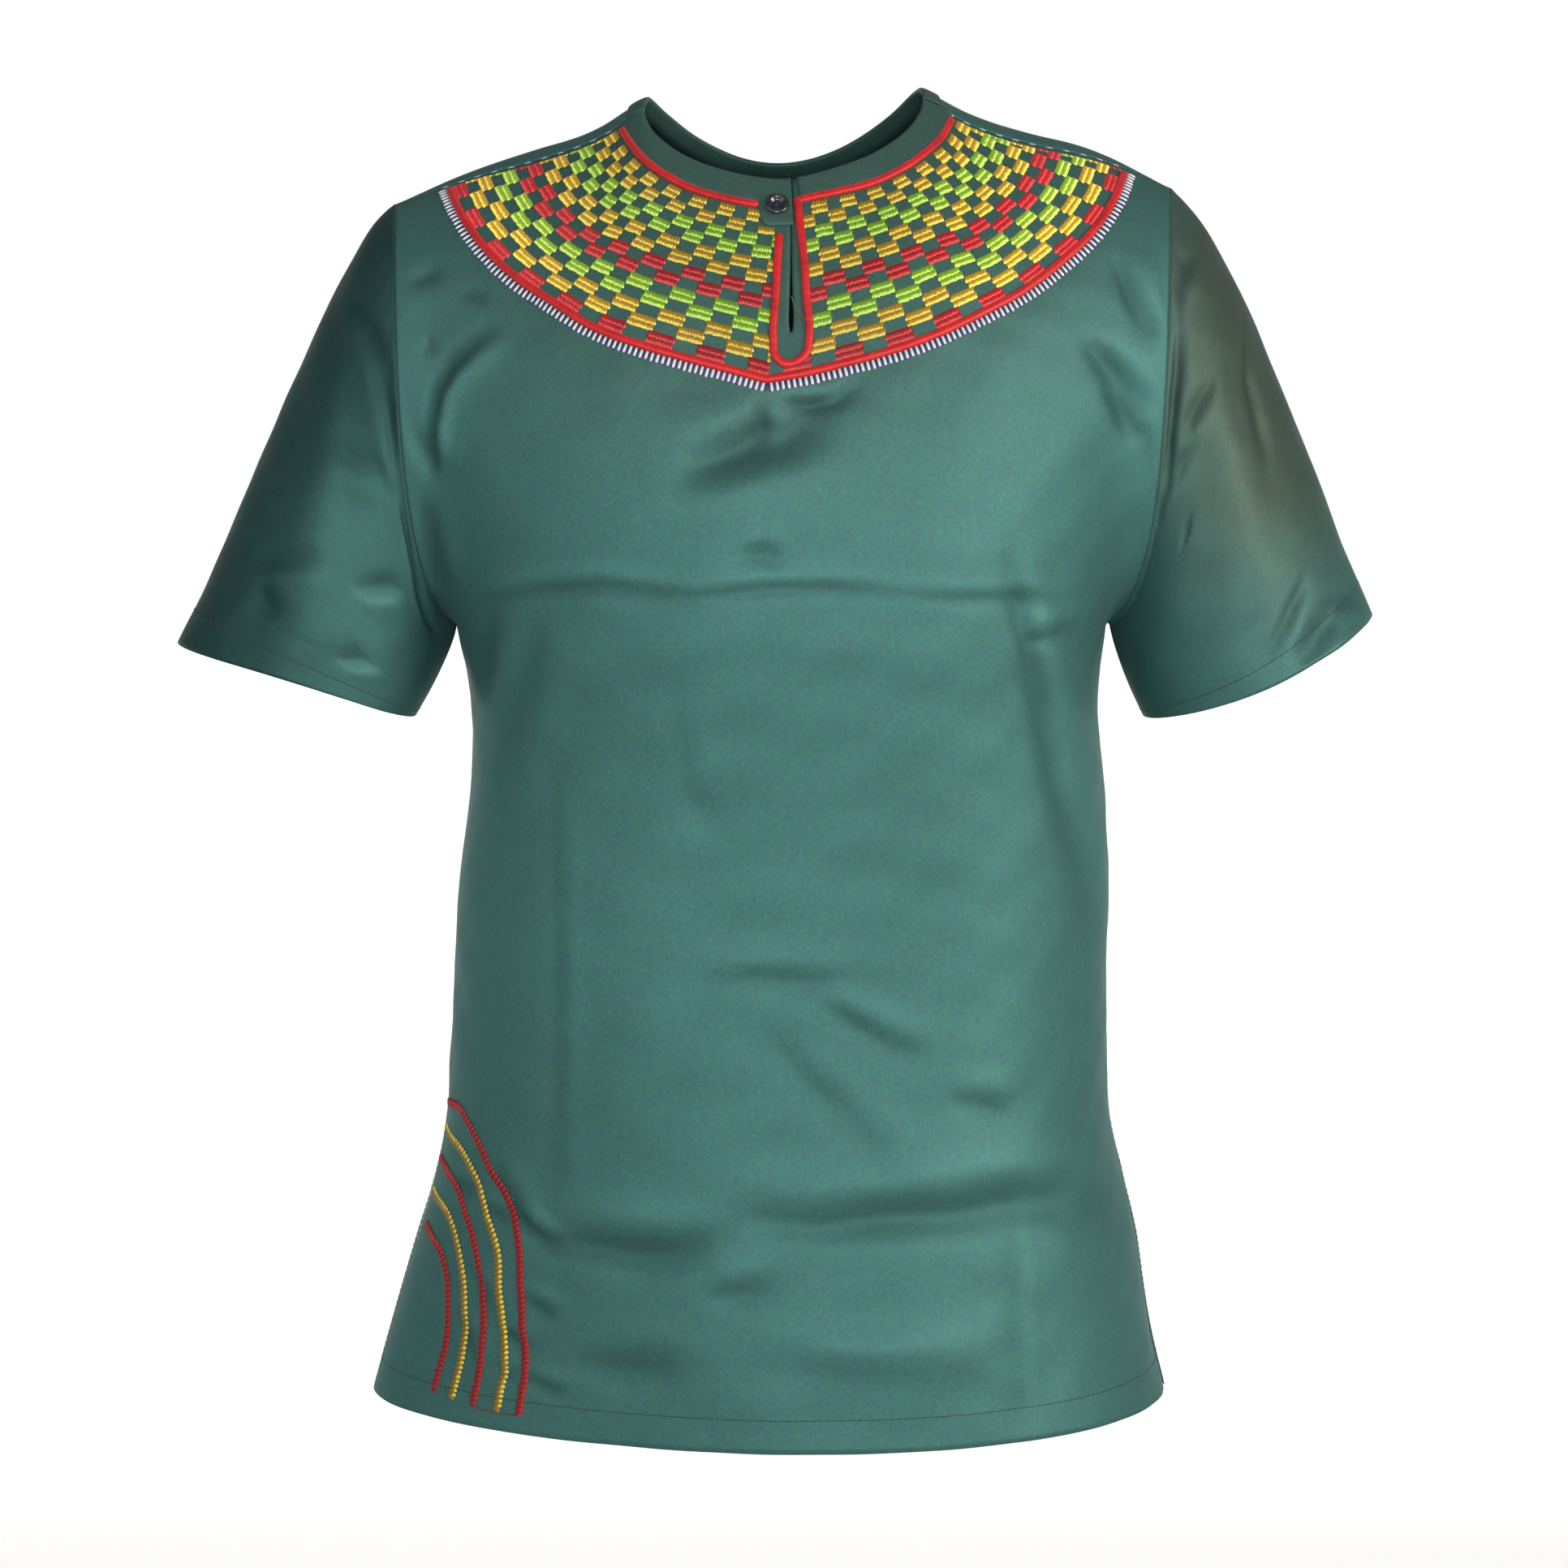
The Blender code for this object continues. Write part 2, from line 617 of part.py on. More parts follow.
def sleeve_point(side, turn, along):
    """Point of a sleeve, along going from the armhole (0) to the cuff (1)."""
    start = armhole_point(side, turn)
    start[0] += side * SLEEVE_GAP
    end = cuff_point(side, turn)
    length = np.linalg.norm(end - start)
    top = 0.5 + 0.5 * math.cos(2 * math.pi * turn)
    out, up = (under + (upper - under) * top for under, upper in zip(LEAVE_UNDER, LEAVE_TOP))
    reach, flare = SLEEVES[side][5:]
    leave = np.array((side * out, 0.0, up)) * length * (1 + (reach - 1) * top)
    arrive = np.array((side * flare, 0.0, -math.sqrt(1 - flare ** 2))) * length
    return hermite(start, leave, end, arrive, along)


def build_sleeve(name, side, material):
    bm = grid(SLEEVE_AROUND, SLEEVE_ALONG)
    for vert in bm.verts:
        vert.co = sleeve_point(side, vert.co.x, vert.co.y)
    bmesh.ops.remove_doubles(bm, verts=bm.verts, dist=1e-5)
    bmesh.ops.recalc_face_normals(bm, faces=bm.faces)
    foremost = min(bm.faces, key=lambda f: f.calc_center_median().y)
    if foremost.normal.y > 0:
        bmesh.ops.reverse_faces(bm, faces=bm.faces)
    part = new_object(name, bm, material)
    give_wall(part, WALL)
    return part


def main():
    clear_scene()
    green, red, black = green_cotton(), red_satin(), black_button()
    build_panel("front_panel", -1, FRONT_COLUMNS, FRONT_ROWS_BELOW, FRONT_ROWS_ABOVE, green)
    build_panel("back_panel", 1, BACK_COLUMNS, BACK_ROWS_BELOW, BACK_ROWS_ABOVE, green)
    build_sleeve("sleeve_right", -1, green)
    build_sleeve("sleeve_left", 1, green)
    build_band("neck_band_right", -1, RIGHT_TURNS, green, tab=True)
    build_band("neck_band_left", -1, LEFT_TURNS, green)
    build_band("neck_band_back", 1, BACK_TURNS, green, lift=RIDGE_LIFT)
    build_cord("neck_cord_right", NECK_CORD_RIGHT, red)
    build_cord("neck_cord_left", NECK_CORD_LEFT, red)
    build_cord("keyhole_cord", KEYHOLE_CORD, red)
    build_cord("yoke_border_cord", YOKE_BORDER, red)
    build_button("button", black)


main()
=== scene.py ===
"""Sews the dashiki shirt's cloth, embroidery and trimmings on its solid frame and lights it.

Metres, +Z up, the front facing -Y and the wearer's right sleeve on -X. A panel is a surface of
two parameters: s runs across it from the right side (-1) to the left (+1), and v runs up it
from the hem (0) over the armpit level (1) to the shoulder seam (2). Whatever lies on a panel
is placed in (s, v) and moved out along the panel's normal, so it follows every fold.
"""
import itertools
import math

import bmesh
import bpy
import numpy as np
from bpy.props import FloatProperty, FloatVectorProperty, PointerProperty
from mathutils import Matrix, Vector


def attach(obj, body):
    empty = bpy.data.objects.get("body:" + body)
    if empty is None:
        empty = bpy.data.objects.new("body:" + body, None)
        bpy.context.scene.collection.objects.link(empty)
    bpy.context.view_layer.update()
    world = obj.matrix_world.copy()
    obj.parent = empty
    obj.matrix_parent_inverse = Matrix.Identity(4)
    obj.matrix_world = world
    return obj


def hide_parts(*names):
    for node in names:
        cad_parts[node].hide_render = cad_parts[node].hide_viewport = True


bl_info = {
    "name": "Dashiki Shirt",
    "version": (1, 0, 0),
    "blender": (4, 5, 0),
    "location": "3D View > Sidebar > Shirt",
    "description": "Sews the cloth, embroidery and trimmings of a dashiki shirt",
    "category": "Object",
}

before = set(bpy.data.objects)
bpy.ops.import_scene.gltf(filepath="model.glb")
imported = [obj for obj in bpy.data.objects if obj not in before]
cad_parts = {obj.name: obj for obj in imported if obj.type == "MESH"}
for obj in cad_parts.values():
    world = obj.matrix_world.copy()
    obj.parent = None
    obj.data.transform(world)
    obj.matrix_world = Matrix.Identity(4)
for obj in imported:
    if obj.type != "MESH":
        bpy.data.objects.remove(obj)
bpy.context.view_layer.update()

# ---------------------------------------------------------------- the cut of the shirt
HEM_Z = -0.7300             # height of the bottom edge
ARMPIT_Z = -0.2945          # height where the sleeves leave the body
TUBE = ARMPIT_Z - HEM_Z     # height of the body below the armpits
VENT_TOP_Z = -0.5800        # upper end of both side vents
VENT_OPEN = 0.0030          # how far a vent stands open at the hem
SEAM_GAP = 0.0003           # clear space between two pieces at a seam
SHOULDER_TRIM = 0.0013      # how much a panel stops short of the shoulder seam, in v
SIDE_TRIM = 0.0008          # the same at a side seam, in s
SLEEVE_GAP = 0.0005         # clear space at an armhole
PANEL_TOP = 2 - SHOULDER_TRIM
NECK_S = 0.300              # |s| where the shoulder seam meets the neck edge
FOLD_FADE = 0.06            # folds die out over this much of s beside a side seam

# The body by height: its seams' x, its depth, how far the front's left edge is tucked in, how
# square its section is, and how far its front leans to the left.
BODY_SECTIONS = (
    # z,      right,   left,   front,  back,  tuck,   power, skew
    (-0.7300, -0.2325, 0.2160, 0.1275, 0.110, 0.0010, 1.90,  0.13),
    (-0.7000, -0.2241, 0.2085, 0.1268, 0.109, 0.0010, 1.94,  0.11),
    (-0.6700, -0.2154, 0.2030, 0.1258, 0.108, 0.0010, 2.00,  0.09),
    (-0.6400, -0.2063, 0.1985, 0.1245, 0.107, 0.0009, 2.08,  0.07),
    (-0.6100, -0.1968, 0.1913, 0.1232, 0.106, 0.0006, 2.15,  0.05),
    (-0.5800, -0.1897, 0.1838, 0.1220, 0.105, 0.0000, 2.20,  0.03),
    (-0.5200, -0.1850, 0.1800, 0.1190, 0.103, 0.0000, 2.28,  0.00),
    (-0.4400, -0.1806, 0.1790, 0.1170, 0.100, 0.0000, 2.35,  0.00),
    (-0.3800, -0.1732, 0.1765, 0.1190, 0.101, 0.0000, 2.35,  0.00),
    (-0.3400, -0.1722, 0.1730, 0.1225, 0.105, 0.0000, 2.35,  0.00),
    (-0.2945, -0.1795, 0.1775, 0.1270, 0.110, 0.0000, 2.35,  0.00),
)
SHOULDER_SEAM = (
    # s,     x,       y,       z
    (-1.00, -0.2110, -0.0040, -0.0665),
    (-0.80, -0.1740, -0.0080, -0.0535),
    (-0.60, -0.1350, -0.0130, -0.0430),
    (-0.42, -0.0990, -0.0190, -0.0300),
    (-0.30, -0.0753, -0.0210, -0.0160),
    (-0.15, -0.0390, -0.0220, -0.0070),
    (0.000, 0.0000, -0.0230, -0.0040),
    (0.150, 0.0390, -0.0220, -0.0030),
    (0.300, 0.0750, -0.0210, -0.0105),
    (0.420, 0.1000, -0.0190, -0.0230),
    (0.600, 0.1360, -0.0130, -0.0340),
    (0.800, 0.1740, -0.0080, -0.0430),
    (1.000, 0.2090, -0.0040, -0.0575),
)
# How the columns of the front (-1) and the back (1) leave the armpit level and how they arrive at
# the shoulder seam, by |s|.
RISES = {
    # face: |s|, leave x, y,      z,      arrive x, y,      z
    -1: (
        (0.00,  0.000,   0.0200, 0.2900,  0.000, -0.2900, 0.2300),
        (0.30,  0.000,   0.0200, 0.2900,  0.000, -0.2900, 0.2000),
        (0.60,  0.000,   0.0400, 0.2700,  0.000, -0.2900, 0.1500),
        (0.85,  0.040,   0.1300, 0.1800, -0.005, -0.2500, 0.1000),
        (1.00,  0.100,   0.2300, 0.0600,  0.020, -0.2300, 0.0500),
    ),
    1: (
        (0.00,  0.000,   0.0150, 0.3600,  0.000, -0.3300, -0.1300),
        (0.30,  0.000,   0.0150, 0.3600,  0.000, -0.3300, -0.1300),
        (0.60,  0.000,   0.0300, 0.3400,  0.000, -0.3100, -0.1100),
        (0.85,  0.040,   0.1200, 0.2200, -0.005, -0.2600, -0.0800),
        (1.00,  0.100,   0.2300, 0.0600,  0.020, -0.2300, -0.0300),
    ),
}
# How deep the neck is cut into each panel, in v, and how square the cut is.
NECK_CUTS = {-1: (0.191, 0.60), 1: (0.378, 0.40)}
# Where a cuff's upper and lower ends are, how far its front drops, and how the sleeve runs there.
SLEEVES = {
    # side: upper x, z,   lower x, z,       drop,   reach, flare
    -1: (-0.3344, -0.3048, -0.2033, -0.3464, -0.006, 0.46, 0.49),
    1: (0.3238, -0.2899, 0.1984, -0.3465, 0.006, 0.51, 0.42),
}
CUFF_DEPTH = 0.0560         # half the cuff's depth from front to back
CUFF_POWER = 1.9            # roundness of the cuff
# Which way a sleeve leaves its armhole, outward and up.
LEAVE_TOP, LEAVE_UNDER = (0.84, -0.60), (0.22, -0.97)
HALF_GIRTH = 0.27           # half a panel's width, for the size of the weave
BODY_RISE = 0.33            # length of a panel above the armpit, for the same
SLEEVE_GIRTH = 0.40         # a sleeve's size, for its weave and its creases
SLEEVE_LENGTH = 0.25

# ---------------------------------------------------------------- trimmings
SLIT_X = 0.0037             # the keyhole slit's line
SLIT_BOTTOM_Z = -0.1308
# Height of each place on the slit, and how far it stands open there.
SLIT_WIDTHS = (
    (-0.1340, 0.0000), (-0.1290, 0.0014), (-0.1235, 0.0024), (-0.1130, 0.0017), (-0.0950, 0.0008),
    (-0.0500, 0.0008),
)
# The satin cords' lines on the front, as places (x, z).
NECK_CORD_RIGHT = (
    (-0.0869, -0.0255), (-0.0780, -0.0374), (-0.0651, -0.0478), (-0.0466, -0.0568),
    (-0.0286, -0.0617), (-0.0130, -0.0646),
)
NECK_CORD_LEFT = (
    (0.0896, -0.0202), (0.0838, -0.0297), (0.0704, -0.0409), (0.0509, -0.0509), (0.0252, -0.0584),
    (0.0064, -0.0627),
)
KEYHOLE_CORD = (
    (0.0071, -0.0610), (0.0085, -0.0750), (0.0102, -0.0895), (0.0118, -0.1109), (0.0131, -0.1310),
    (0.0118, -0.1395), (0.0060, -0.1446), (0.0000, -0.1452), (-0.0043, -0.1415),
    (-0.0055, -0.1324), (-0.0043, -0.1109), (-0.0034, -0.0924), (-0.0024, -0.0790),
)
V_POINT = (-0.0089, -0.1535)    # where the border comes to a point
YOKE_BORDER = (
    (-0.1806, -0.0572), (-0.1690, -0.0755), (-0.1559, -0.0904), (-0.1406, -0.1031),
    (-0.1233, -0.1136), (-0.1002, -0.1269), (-0.0749, -0.1360), (-0.0460, -0.1437),
    (-0.0257, -0.1490), V_POINT, (0.0101, -0.1502), (0.0312, -0.1453),
    (0.0694, -0.1343), (0.1015, -0.1210), (0.1276, -0.1077), (0.1449, -0.0955), (0.1611, -0.0819),
    (0.1752, -0.0645), (0.1835, -0.0488),
)
CORD_WIDTH = 0.0044
CORD_HEIGHT = 0.0018
CORD_BED = 0.0002           # clear height of a cord over the cloth
CORD_ROUNDING = 0.27        # length of a cord's rounded end, in widths
CORD_WAVES = (0.05, 900, 410)   # a cord's unevenness and how fast its two waves turn
# A cord's section, as shares of half its width and of its height.
CORD_SECTION = ((-1.0, -0.15), (-1.0, 0.25), (-0.86, 0.60), (-0.60, 0.86), (-0.25, 0.99),
                (0.15, 1.0), (0.50, 0.91), (0.78, 0.70), (0.95, 0.40), (1.0, -0.15))
TAB_X, TAB_RIGHT_X, TAB_Z = -0.0125, 0.0045, -0.0754
TAB_CORNER = 0.0050         # radius of the tab's lower corner
BUTTON_X, BUTTON_Z = -0.0036, -0.0655
BUTTON_RADIUS = 0.0061
BUTTON_HEIGHT = 0.0026
# The button's section, as shares of its radius and height.
BUTTON_SECTION = ((0.0, 0.30), (0.10, 0.30), (0.36, 0.32), (0.50, 0.46), (0.60, 0.80),
                  (0.72, 0.98), (0.84, 1.0), (0.95, 0.86), (1.0, 0.62), (0.97, 0.34),
                  (0.84, 0.10), (0.60, 0.0), (0.0, 0.0))
BUTTON_LIFT = 0.0015        # height of its underside over the cloth
BUTTON_HOLES = 0.00125      # how far across and up its thread reaches from the middle
BUTTON_DISH = 0.36          # where the thread lies, as a share of the height

# The band's section: how far from the neck edge, and how high over the cloth. It starts on the
# inside, folds over the edge and ends on the outside.
BAND_SECTION = (
    (0.0120, -0.0019), (0.0060, -0.0019), (0.0012, -0.0018), (-0.0004, -0.0012),
    (-0.0008, -0.0003), (-0.0003, 0.0006), (0.0012, 0.0010), (0.0036, 0.0011), (0.0062, 0.0011),
    (0.0086, 0.0011), (0.0098, 0.0009), (0.0102, 0.0004),
)
BAND_REACH = BAND_SECTION[-1][0]
BAND_WIDEST = 0.0165        # the farthest that a band reaches down to its cord
BAND_FLAT = 0.0036          # this far from the neck edge, a band is still unstretched
BAND_OUTSIDE = 6            # number of the section's first place on the outside
BAND_WALL = 0.0006
# How far round the neck edge each front band goes, from the right (-1) to the left (1). The
# right one has a finer second stretch, where it grows into the tab.
RIGHT_BAND, LEFT_BAND = (-1, -0.16, -0.155, 0.03), (0.055, 1)

# The yoke's blocks: the colours of its bands from the neck cord outward, the width of a column,
# and the seeds of each colour's unevenness.
CHECK_BANDS = ("gold", "gold", "green", "green", "gold", "gold", "red", "red", "green",
               "green", "gold", "gold", "red")
INNER_COLUMN = 0.00735      # width of a column beside the neck cord
OUTER_COLUMN = 0.01430      # width of a column beside the border
CHECK_SEEDS = {"gold": 3, "green": 5, "red": 9}
COLUMN_NUMBERS = range(-1, 19)
STITCH_PITCH = 0.00135      # distance between the stitches of a block
STITCH_COVER = 1.3          # a stitch's width, in pitches
MIN_STITCH = 0.0015         # shorter stitches are left out
BLOCK_SPREAD, BLOCK_START = 1.04, -0.02     # a block's width and start, in columns
# A block is two ribs of stitches, one outside the other, measured in shares of a band. They
# lean, and the second rib lies lower.
RIB_STEP, RIB_LENGTH = 0.44, 0.55
RIB_FRINGES = (0.05, 0.06)  # longer ends, every other stitch in the first rib
RIB_LEANS = (0.16, 0.12)
BLOCK_HEIGHT, RIB_DROP = 0.00075, 0.00015
ROUGHNESS = 0.035           # spread of the uneven ends, and its shares along and across
ROUGH_START, ROUGH_END, ROUGH_ACROSS = 0.03, 0.04, 0.25
CHECK_TOP, CHECK_BOTTOM = 0.030, 0.974      # where the bands start and stop, as shares
BELOW_KEYHOLE_Z = -0.1465   # the blocks close up under the keyhole's cord from here
# How far along the neck cord and along the border the first column's middle lies.
FIRST_COLUMN = {-1: (-0.0010, 0.0035), 1: (0.0035, 0.0165)}

# How the arcs are sewn, in pitches of their zigzag: where they start and stop, how far a tooth
# leans, and the width of its thread and of the padding's.
ARC_END, ARC_LEAN, ARC_THREAD, PADDING_THREAD = 0.4, 0.32, 0.64, 0.62
ARC_HEIGHT, PADDING_HEIGHT = 0.0011, 0.0005
PADDING_REACH = (0.80, 0.66)    # in half widths of the arc, outward and inward
# Arcs sewn at the right side of the hem, from the one nearest the centre outward.
HEM_ARCS = (
    # thread, places (x, z)
    ("red", ((-0.1850, -0.5600), (-0.1797, -0.5585), (-0.1722, -0.5665), (-0.1650, -0.5775),
             (-0.1605, -0.5870), (-0.1530, -0.5980), (-0.1478, -0.6085), (-0.1442, -0.6247),
             (-0.1434, -0.6472), (-0.1422, -0.6686), (-0.1409, -0.6900), (-0.1448, -0.7199))),
    ("gold", ((-0.1870, -0.5751), (-0.1779, -0.5810), (-0.1684, -0.5944), (-0.1627, -0.6127),
              (-0.1567, -0.6282), (-0.1553, -0.6492), (-0.1536, -0.6703), (-0.1523, -0.6885),
              (-0.1571, -0.7191))),
    ("red", ((-0.1904, -0.5924), (-0.1812, -0.6002), (-0.1746, -0.6144), (-0.1684, -0.6349),
             (-0.1656, -0.6555), (-0.1642, -0.6677), (-0.1657, -0.6908), (-0.1710, -0.7183))),
    ("gold", ((-0.1945, -0.6109), (-0.1855, -0.6178), (-0.1798, -0.6334), (-0.1769, -0.6478),
              (-0.1755, -0.6629), (-0.1769, -0.6902), (-0.1832, -0.7165))),
    ("red", ((-0.1990, -0.6293), (-0.1901, -0.6382), (-0.1860, -0.6519), (-0.1855, -0.6670),
             (-0.1869, -0.6867), (-0.1941, -0.7158))),
)

# ---------------------------------------------------------------- folds
# Creases of the front (-1) and the back (1): depth and width in millimetres, ridge, then places
# (x, z) in millimetres. A depth below 0 is a trough, width is how soft it is, and ridge is the
# share of the depth that stands up beside it.
PANEL_FOLDS = {
    -1: (
        (-3.5, 13, 0, (-54, -208), (22, -171)),
        (-2.6, 5, 0.4, (-11, -163), (-13, -169), (-13, -177), (-17, -185)),
        (-1.8, 4, 0.5, (-3, -165), (12, -167), (27, -165), (39, -155)),
        (-3, 11, 0.5, (-54, -200), (-30, -193), (1, -184), (23, -164)),
        (2.5, 20, 0, (-73, -219), (-40, -212), (2, -201), (36, -185)),
        (-1.4, 5, 0.5, (-22, -245), (-11, -243), (-2, -246)),
        (-1.7, 4.5, 0.6, (-163, -274), (-129, -266), (-99, -262), (-75, -265), (-50, -267)),
        (-1.2, 4, 0.6, (-50, -267), (-10, -262), (23, -262), (58, -266)),
        (-0.9, 4, 0.6, (58, -266), (91, -269), (124, -270), (152, -274)),
        (-2.6, 6.5, 0.5, (117, -248), (129, -295), (136, -325), (142, -354), (150, -390),
         (160, -426), (165, -462)),
        (-1.6, 5, 0.5, (128, -293), (136, -293), (148, -290), (160, -289)),
        (-1.8, 7, 0.5, (-155, -279), (-160, -301), (-165, -328)),
        (-2, 8, 0.4, (-129, -285), (-139, -325), (-149, -358), (-155, -391)),
        (-0.8, 5, 0.6, (-122, -363), (-122, -429), (-122, -495), (-123, -562), (-124, -611)),
        (-0.6, 7, 0.4, (-57, -319), (-55, -346), (-52, -371), (-42, -385), (-30, -396)),
        (-0.8, 5, 0.6, (121, -597), (123, -641), (125, -695), (126, -730)),
        (-1.2, 6, 0.5, (-42, -473), (-16, -471), (15, -474), (41, -473)),
        (-1.8, 6, 0.5, (17, -482), (36, -496), (56, -508), (72, -516)),
        (-1.4, 8, 0.4, (-9, -503), (15, -530), (41, -556), (65, -584)),
        (-1.8, 7, 0.5, (89, -540), (106, -544), (123, -551)),
        (-4.5, 11, 0.5, (-18, -602), (17, -606), (53, -601), (89, -601), (119, -599), (146, -600),
         (172, -608)),
        (-4.5, 10, 0.5, (-129, -619), (-97, -621), (-78, -622), (-59, -621), (-37, -617)),
        (-2.2, 8, 0.5, (-42, -644), (-22, -643), (-4, -638)),
        (3.4, 14, 0, (6, -670), (41, -672), (80, -672), (119, -670)),
        (-2.8, 10, 0.4, (-115, -687), (-86, -688), (-57, -683)),
        (-1.8, 5, 0.5, (-157, -585), (-150, -598), (-143, -607)),
        (-2.8, 4, 0.6, (-147, -603), (-139, -614), (-130, -620), (-122, -624)),
        (-1.6, 3.6, 0.5, (-164, -606), (-155, -610), (-149, -611)),
        (-1.4, 3.6, 0.5, (-180, -597), (-173, -600), (-168, -599)),
        (-2, 4, 0.5, (-142, -653), (-134, -657), (-124, -662)),
        (-1.8, 3.8, 0.5, (-154, -672), (-148, -676), (-141, -681)),
        (-1.8, 3.6, 0.5, (-141, -697), (-133, -700), (-120, -704)),
        (-1.4, 3.6, 0.5, (-172, -640), (-165, -652), (-161, -662)),
        (-1.4, 3.6, 0.5, (-178, -668), (-172, -682), (-171, -694)),
        (-1.4, 3.6, 0.5, (-158, -692), (-152, -697), (-146, -699)),
        (2.6, 6, 0, (-183, -200), (-183, -181), (-179, -166), (-171, -154), (-160, -143),
         (-148, -133)),
        (-3.6, 4.6, 0, (-188, -207), (-188, -181), (-184, -163), (-176, -149), (-165, -138),
         (-152, -128)),
        (-2.6, 6, 0.4, (-193, -224), (-190, -251), (-186, -272)),
        (-1.8, 4.5, 0, (-199, -107), (-190, -103), (-183, -98)),
        (-1.4, 4.5, 0, (-172, -111), (-164, -111), (-156, -113)),
        (-1.2, 4, 0, (-189, -134), (-188, -144)),
        (-2, 6, 0.4, (-196, -184), (-192, -195), (-187, -207)),
        (-2.6, 5.5, 0.4, (176, -91), (186, -116), (198, -134)),
        (-3.4, 7, 0.4, (160, -135), (176, -155), (192, -177)),
        (-2.4, 5.5, 0.4, (171, -161), (180, -175), (190, -191)),
    ),
    1: (
        (-4, 15, 0.3, (-130, -120), (-112, -180), (-80, -260)),
        (-4, 15, 0.3, (130, -120), (115, -190), (85, -260)),
        (-2.2, 8, 0.5, (-180, -150), (-165, -172), (-140, -190)),
        (-2.6, 9, 0.5, (178, -130), (168, -160), (150, -188)),
        (-1.6, 5, 0.6, (-150, -270), (-90, -264), (-20, -268), (70, -262), (140, -268)),
        (-0.9, 5, 0.6, (-118, -330), (-120, -470), (-121, -640)),
        (-0.9, 5, 0.6, (119, -360), (121, -500), (123, -700)),
        (-2.2, 8, 0.4, (140, -290), (152, -340), (160, -400)),
        (-1.8, 7, 0.5, (-60, -330), (-40, -365), (-10, -390)),
        (-4.5, 14, 0.4, (-120, -480), (-40, -492), (40, -490), (110, -500)),
        (4, 14, 0, (-80, -560), (20, -574), (130, -580)),
        (-4, 12, 0.4, (-140, -640), (-50, -632), (60, -625)),
        (-2, 7, 0.5, (20, -660), (70, -668), (130, -662)),
        (-1.6, 6, 0.5, (-20, -420), (30, -440), (60, -462)),
    ),
}
# Creases of the right (-1) and the left (1) sleeve. Their places are shares of the way round
# (0 the shoulder, 0.25 the front, 0.5 the armpit) and along (0 the armhole, 1 the cuff).
SLEEVE_FOLDS = {
    -1: (
        (-2.2, 5.5, 0.4, (0.08, 0.23), (0.15, 0.13), (0.2, 0.03)),
        (-1.6, 5, 0.4, (0.166, 0.43), (0.216, 0.33), (0.282, 0.13)),
        (-1.8, 5, 0.4, (0.134, 0.77), (0.182, 0.7), (0.228, 0.615)),
        (-2.6, 4.8, 0.4, (0.29, 0.575), (0.32, 0.46), (0.362, 0.275)),
        (-3, 8.5, 0.3, (0.162, 0.785), (0.18, 0.815), (0.2, 0.845)),
        (-2.2, 7, 0.4, (0.302, 0.855), (0.318, 0.81), (0.334, 0.755)),
        (-2.6, 9, 0.3, (0.156, 0.16), (0.226, 0.075), (0.29, 0.07)),
        (-3, 8, 0.4, (0.32, 0.06), (0.35, 0.05), (0.397, 0.09), (0.443, 0.232)),
        (3, 18, 0, (0.15, 0.3), (0.2, 0.52), (0.24, 0.85)),
        (-2.6, 10, 0.4, (0.64, 0.2), (0.7, 0.42), (0.72, 0.7)),
        (-2.2, 8, 0.5, (0.8, 0.12), (0.83, 0.26), (0.88, 0.38)),
        (-2, 8, 0.5, (0.66, 0.62), (0.76, 0.7), (0.82, 0.8)),
    ),
    1: (
        (-2.2, 5, 0.4, (0.164, 0.275), (0.218, 0.19), (0.254, 0.085)),
        (-2, 5, 0.4, (0.23, 0.25), (0.264, 0.165), (0.294, 0.065)),
        (-1.8, 5.5, 0.4, (0.056, 0.36), (0.108, 0.415), (0.124, 0.485), (0.138, 0.57)),
        (-2, 5, 0.4, (0.146, 0.815), (0.182, 0.84), (0.238, 0.91)),
        (-3.4, 9, 0.4, (0.114, 0.92), (0.16, 0.945), (0.2, 0.985)),
        (-1.4, 4.5, 0, (0.288, 0.295), (0.292, 0.325), (0.298, 0.345)),
        (-2, 5, 0.4, (0.074, 0.145), (0.12, 0.06), (0.15, 0.03)),
        (-1.6, 4.5, 0, (0.132, 0.89), (0.1, 0.92), (0.054, 0.935)),
        (-3.2, 9, 0.3, (0.172, 0.05), (0.206, 0.065), (0.252, 0.05), (0.298, 0.045)),
        (3, 18, 0, (0.18, 0.25), (0.2, 0.5), (0.23, 0.8)),
        (-2.6, 10, 0.4, (0.63, 0.18), (0.68, 0.4), (0.74, 0.64)),
        (-2, 8, 0.5, (0.79, 0.14), (0.85, 0.3), (0.88, 0.42)),
    ),
}
RIPPLE_HEIGHT = 0.00016     # soft unevenness of all the cloth, and the lengths of its waves
RIPPLE_LENGTHS = (0.021, 0.027, 0.034, 0.043, 0.055, 0.071, 0.090, 0.120)
FOLD_SHADE = 0.65           # how strongly the creases' painted shade darkens the cloth in troughs and their painted light lightens it on ridges
EASE_DEPTH = 0.0006         # depth of the puckers where a sleeve is eased into its armhole
EASE_PUCKERS = 31           # and their number
RIDGE_PLACE, RIDGE_SPREAD = 1.9, 1.2    # a crease's ridge, in widths from its trough
SHADE_LIMITS = (-0.6, 0.3)  # the darkest painted shade in a trough and the lightest painted light on a ridge

# How a hem is turned up on the inside: distance up from the bottom edge, and how far inside.
HEM_TURN = ((0.0200, 0.0013), (0.0198, 0.0011), (0.0150, 0.0010), (0.0100, 0.0010),
            (0.0050, 0.0010), (0.0010, 0.0010), (0.0001, 0.0007), (-0.0002, 0.0004),
            (0.0000, 0.0001))
HEM_STITCHES = 0.0185       # height of the hem's stitches over the edge
STITCH_GAP = 0.0007         # between two of them
VENT_STITCHES = 0.978       # |s| of the stitches beside a vent
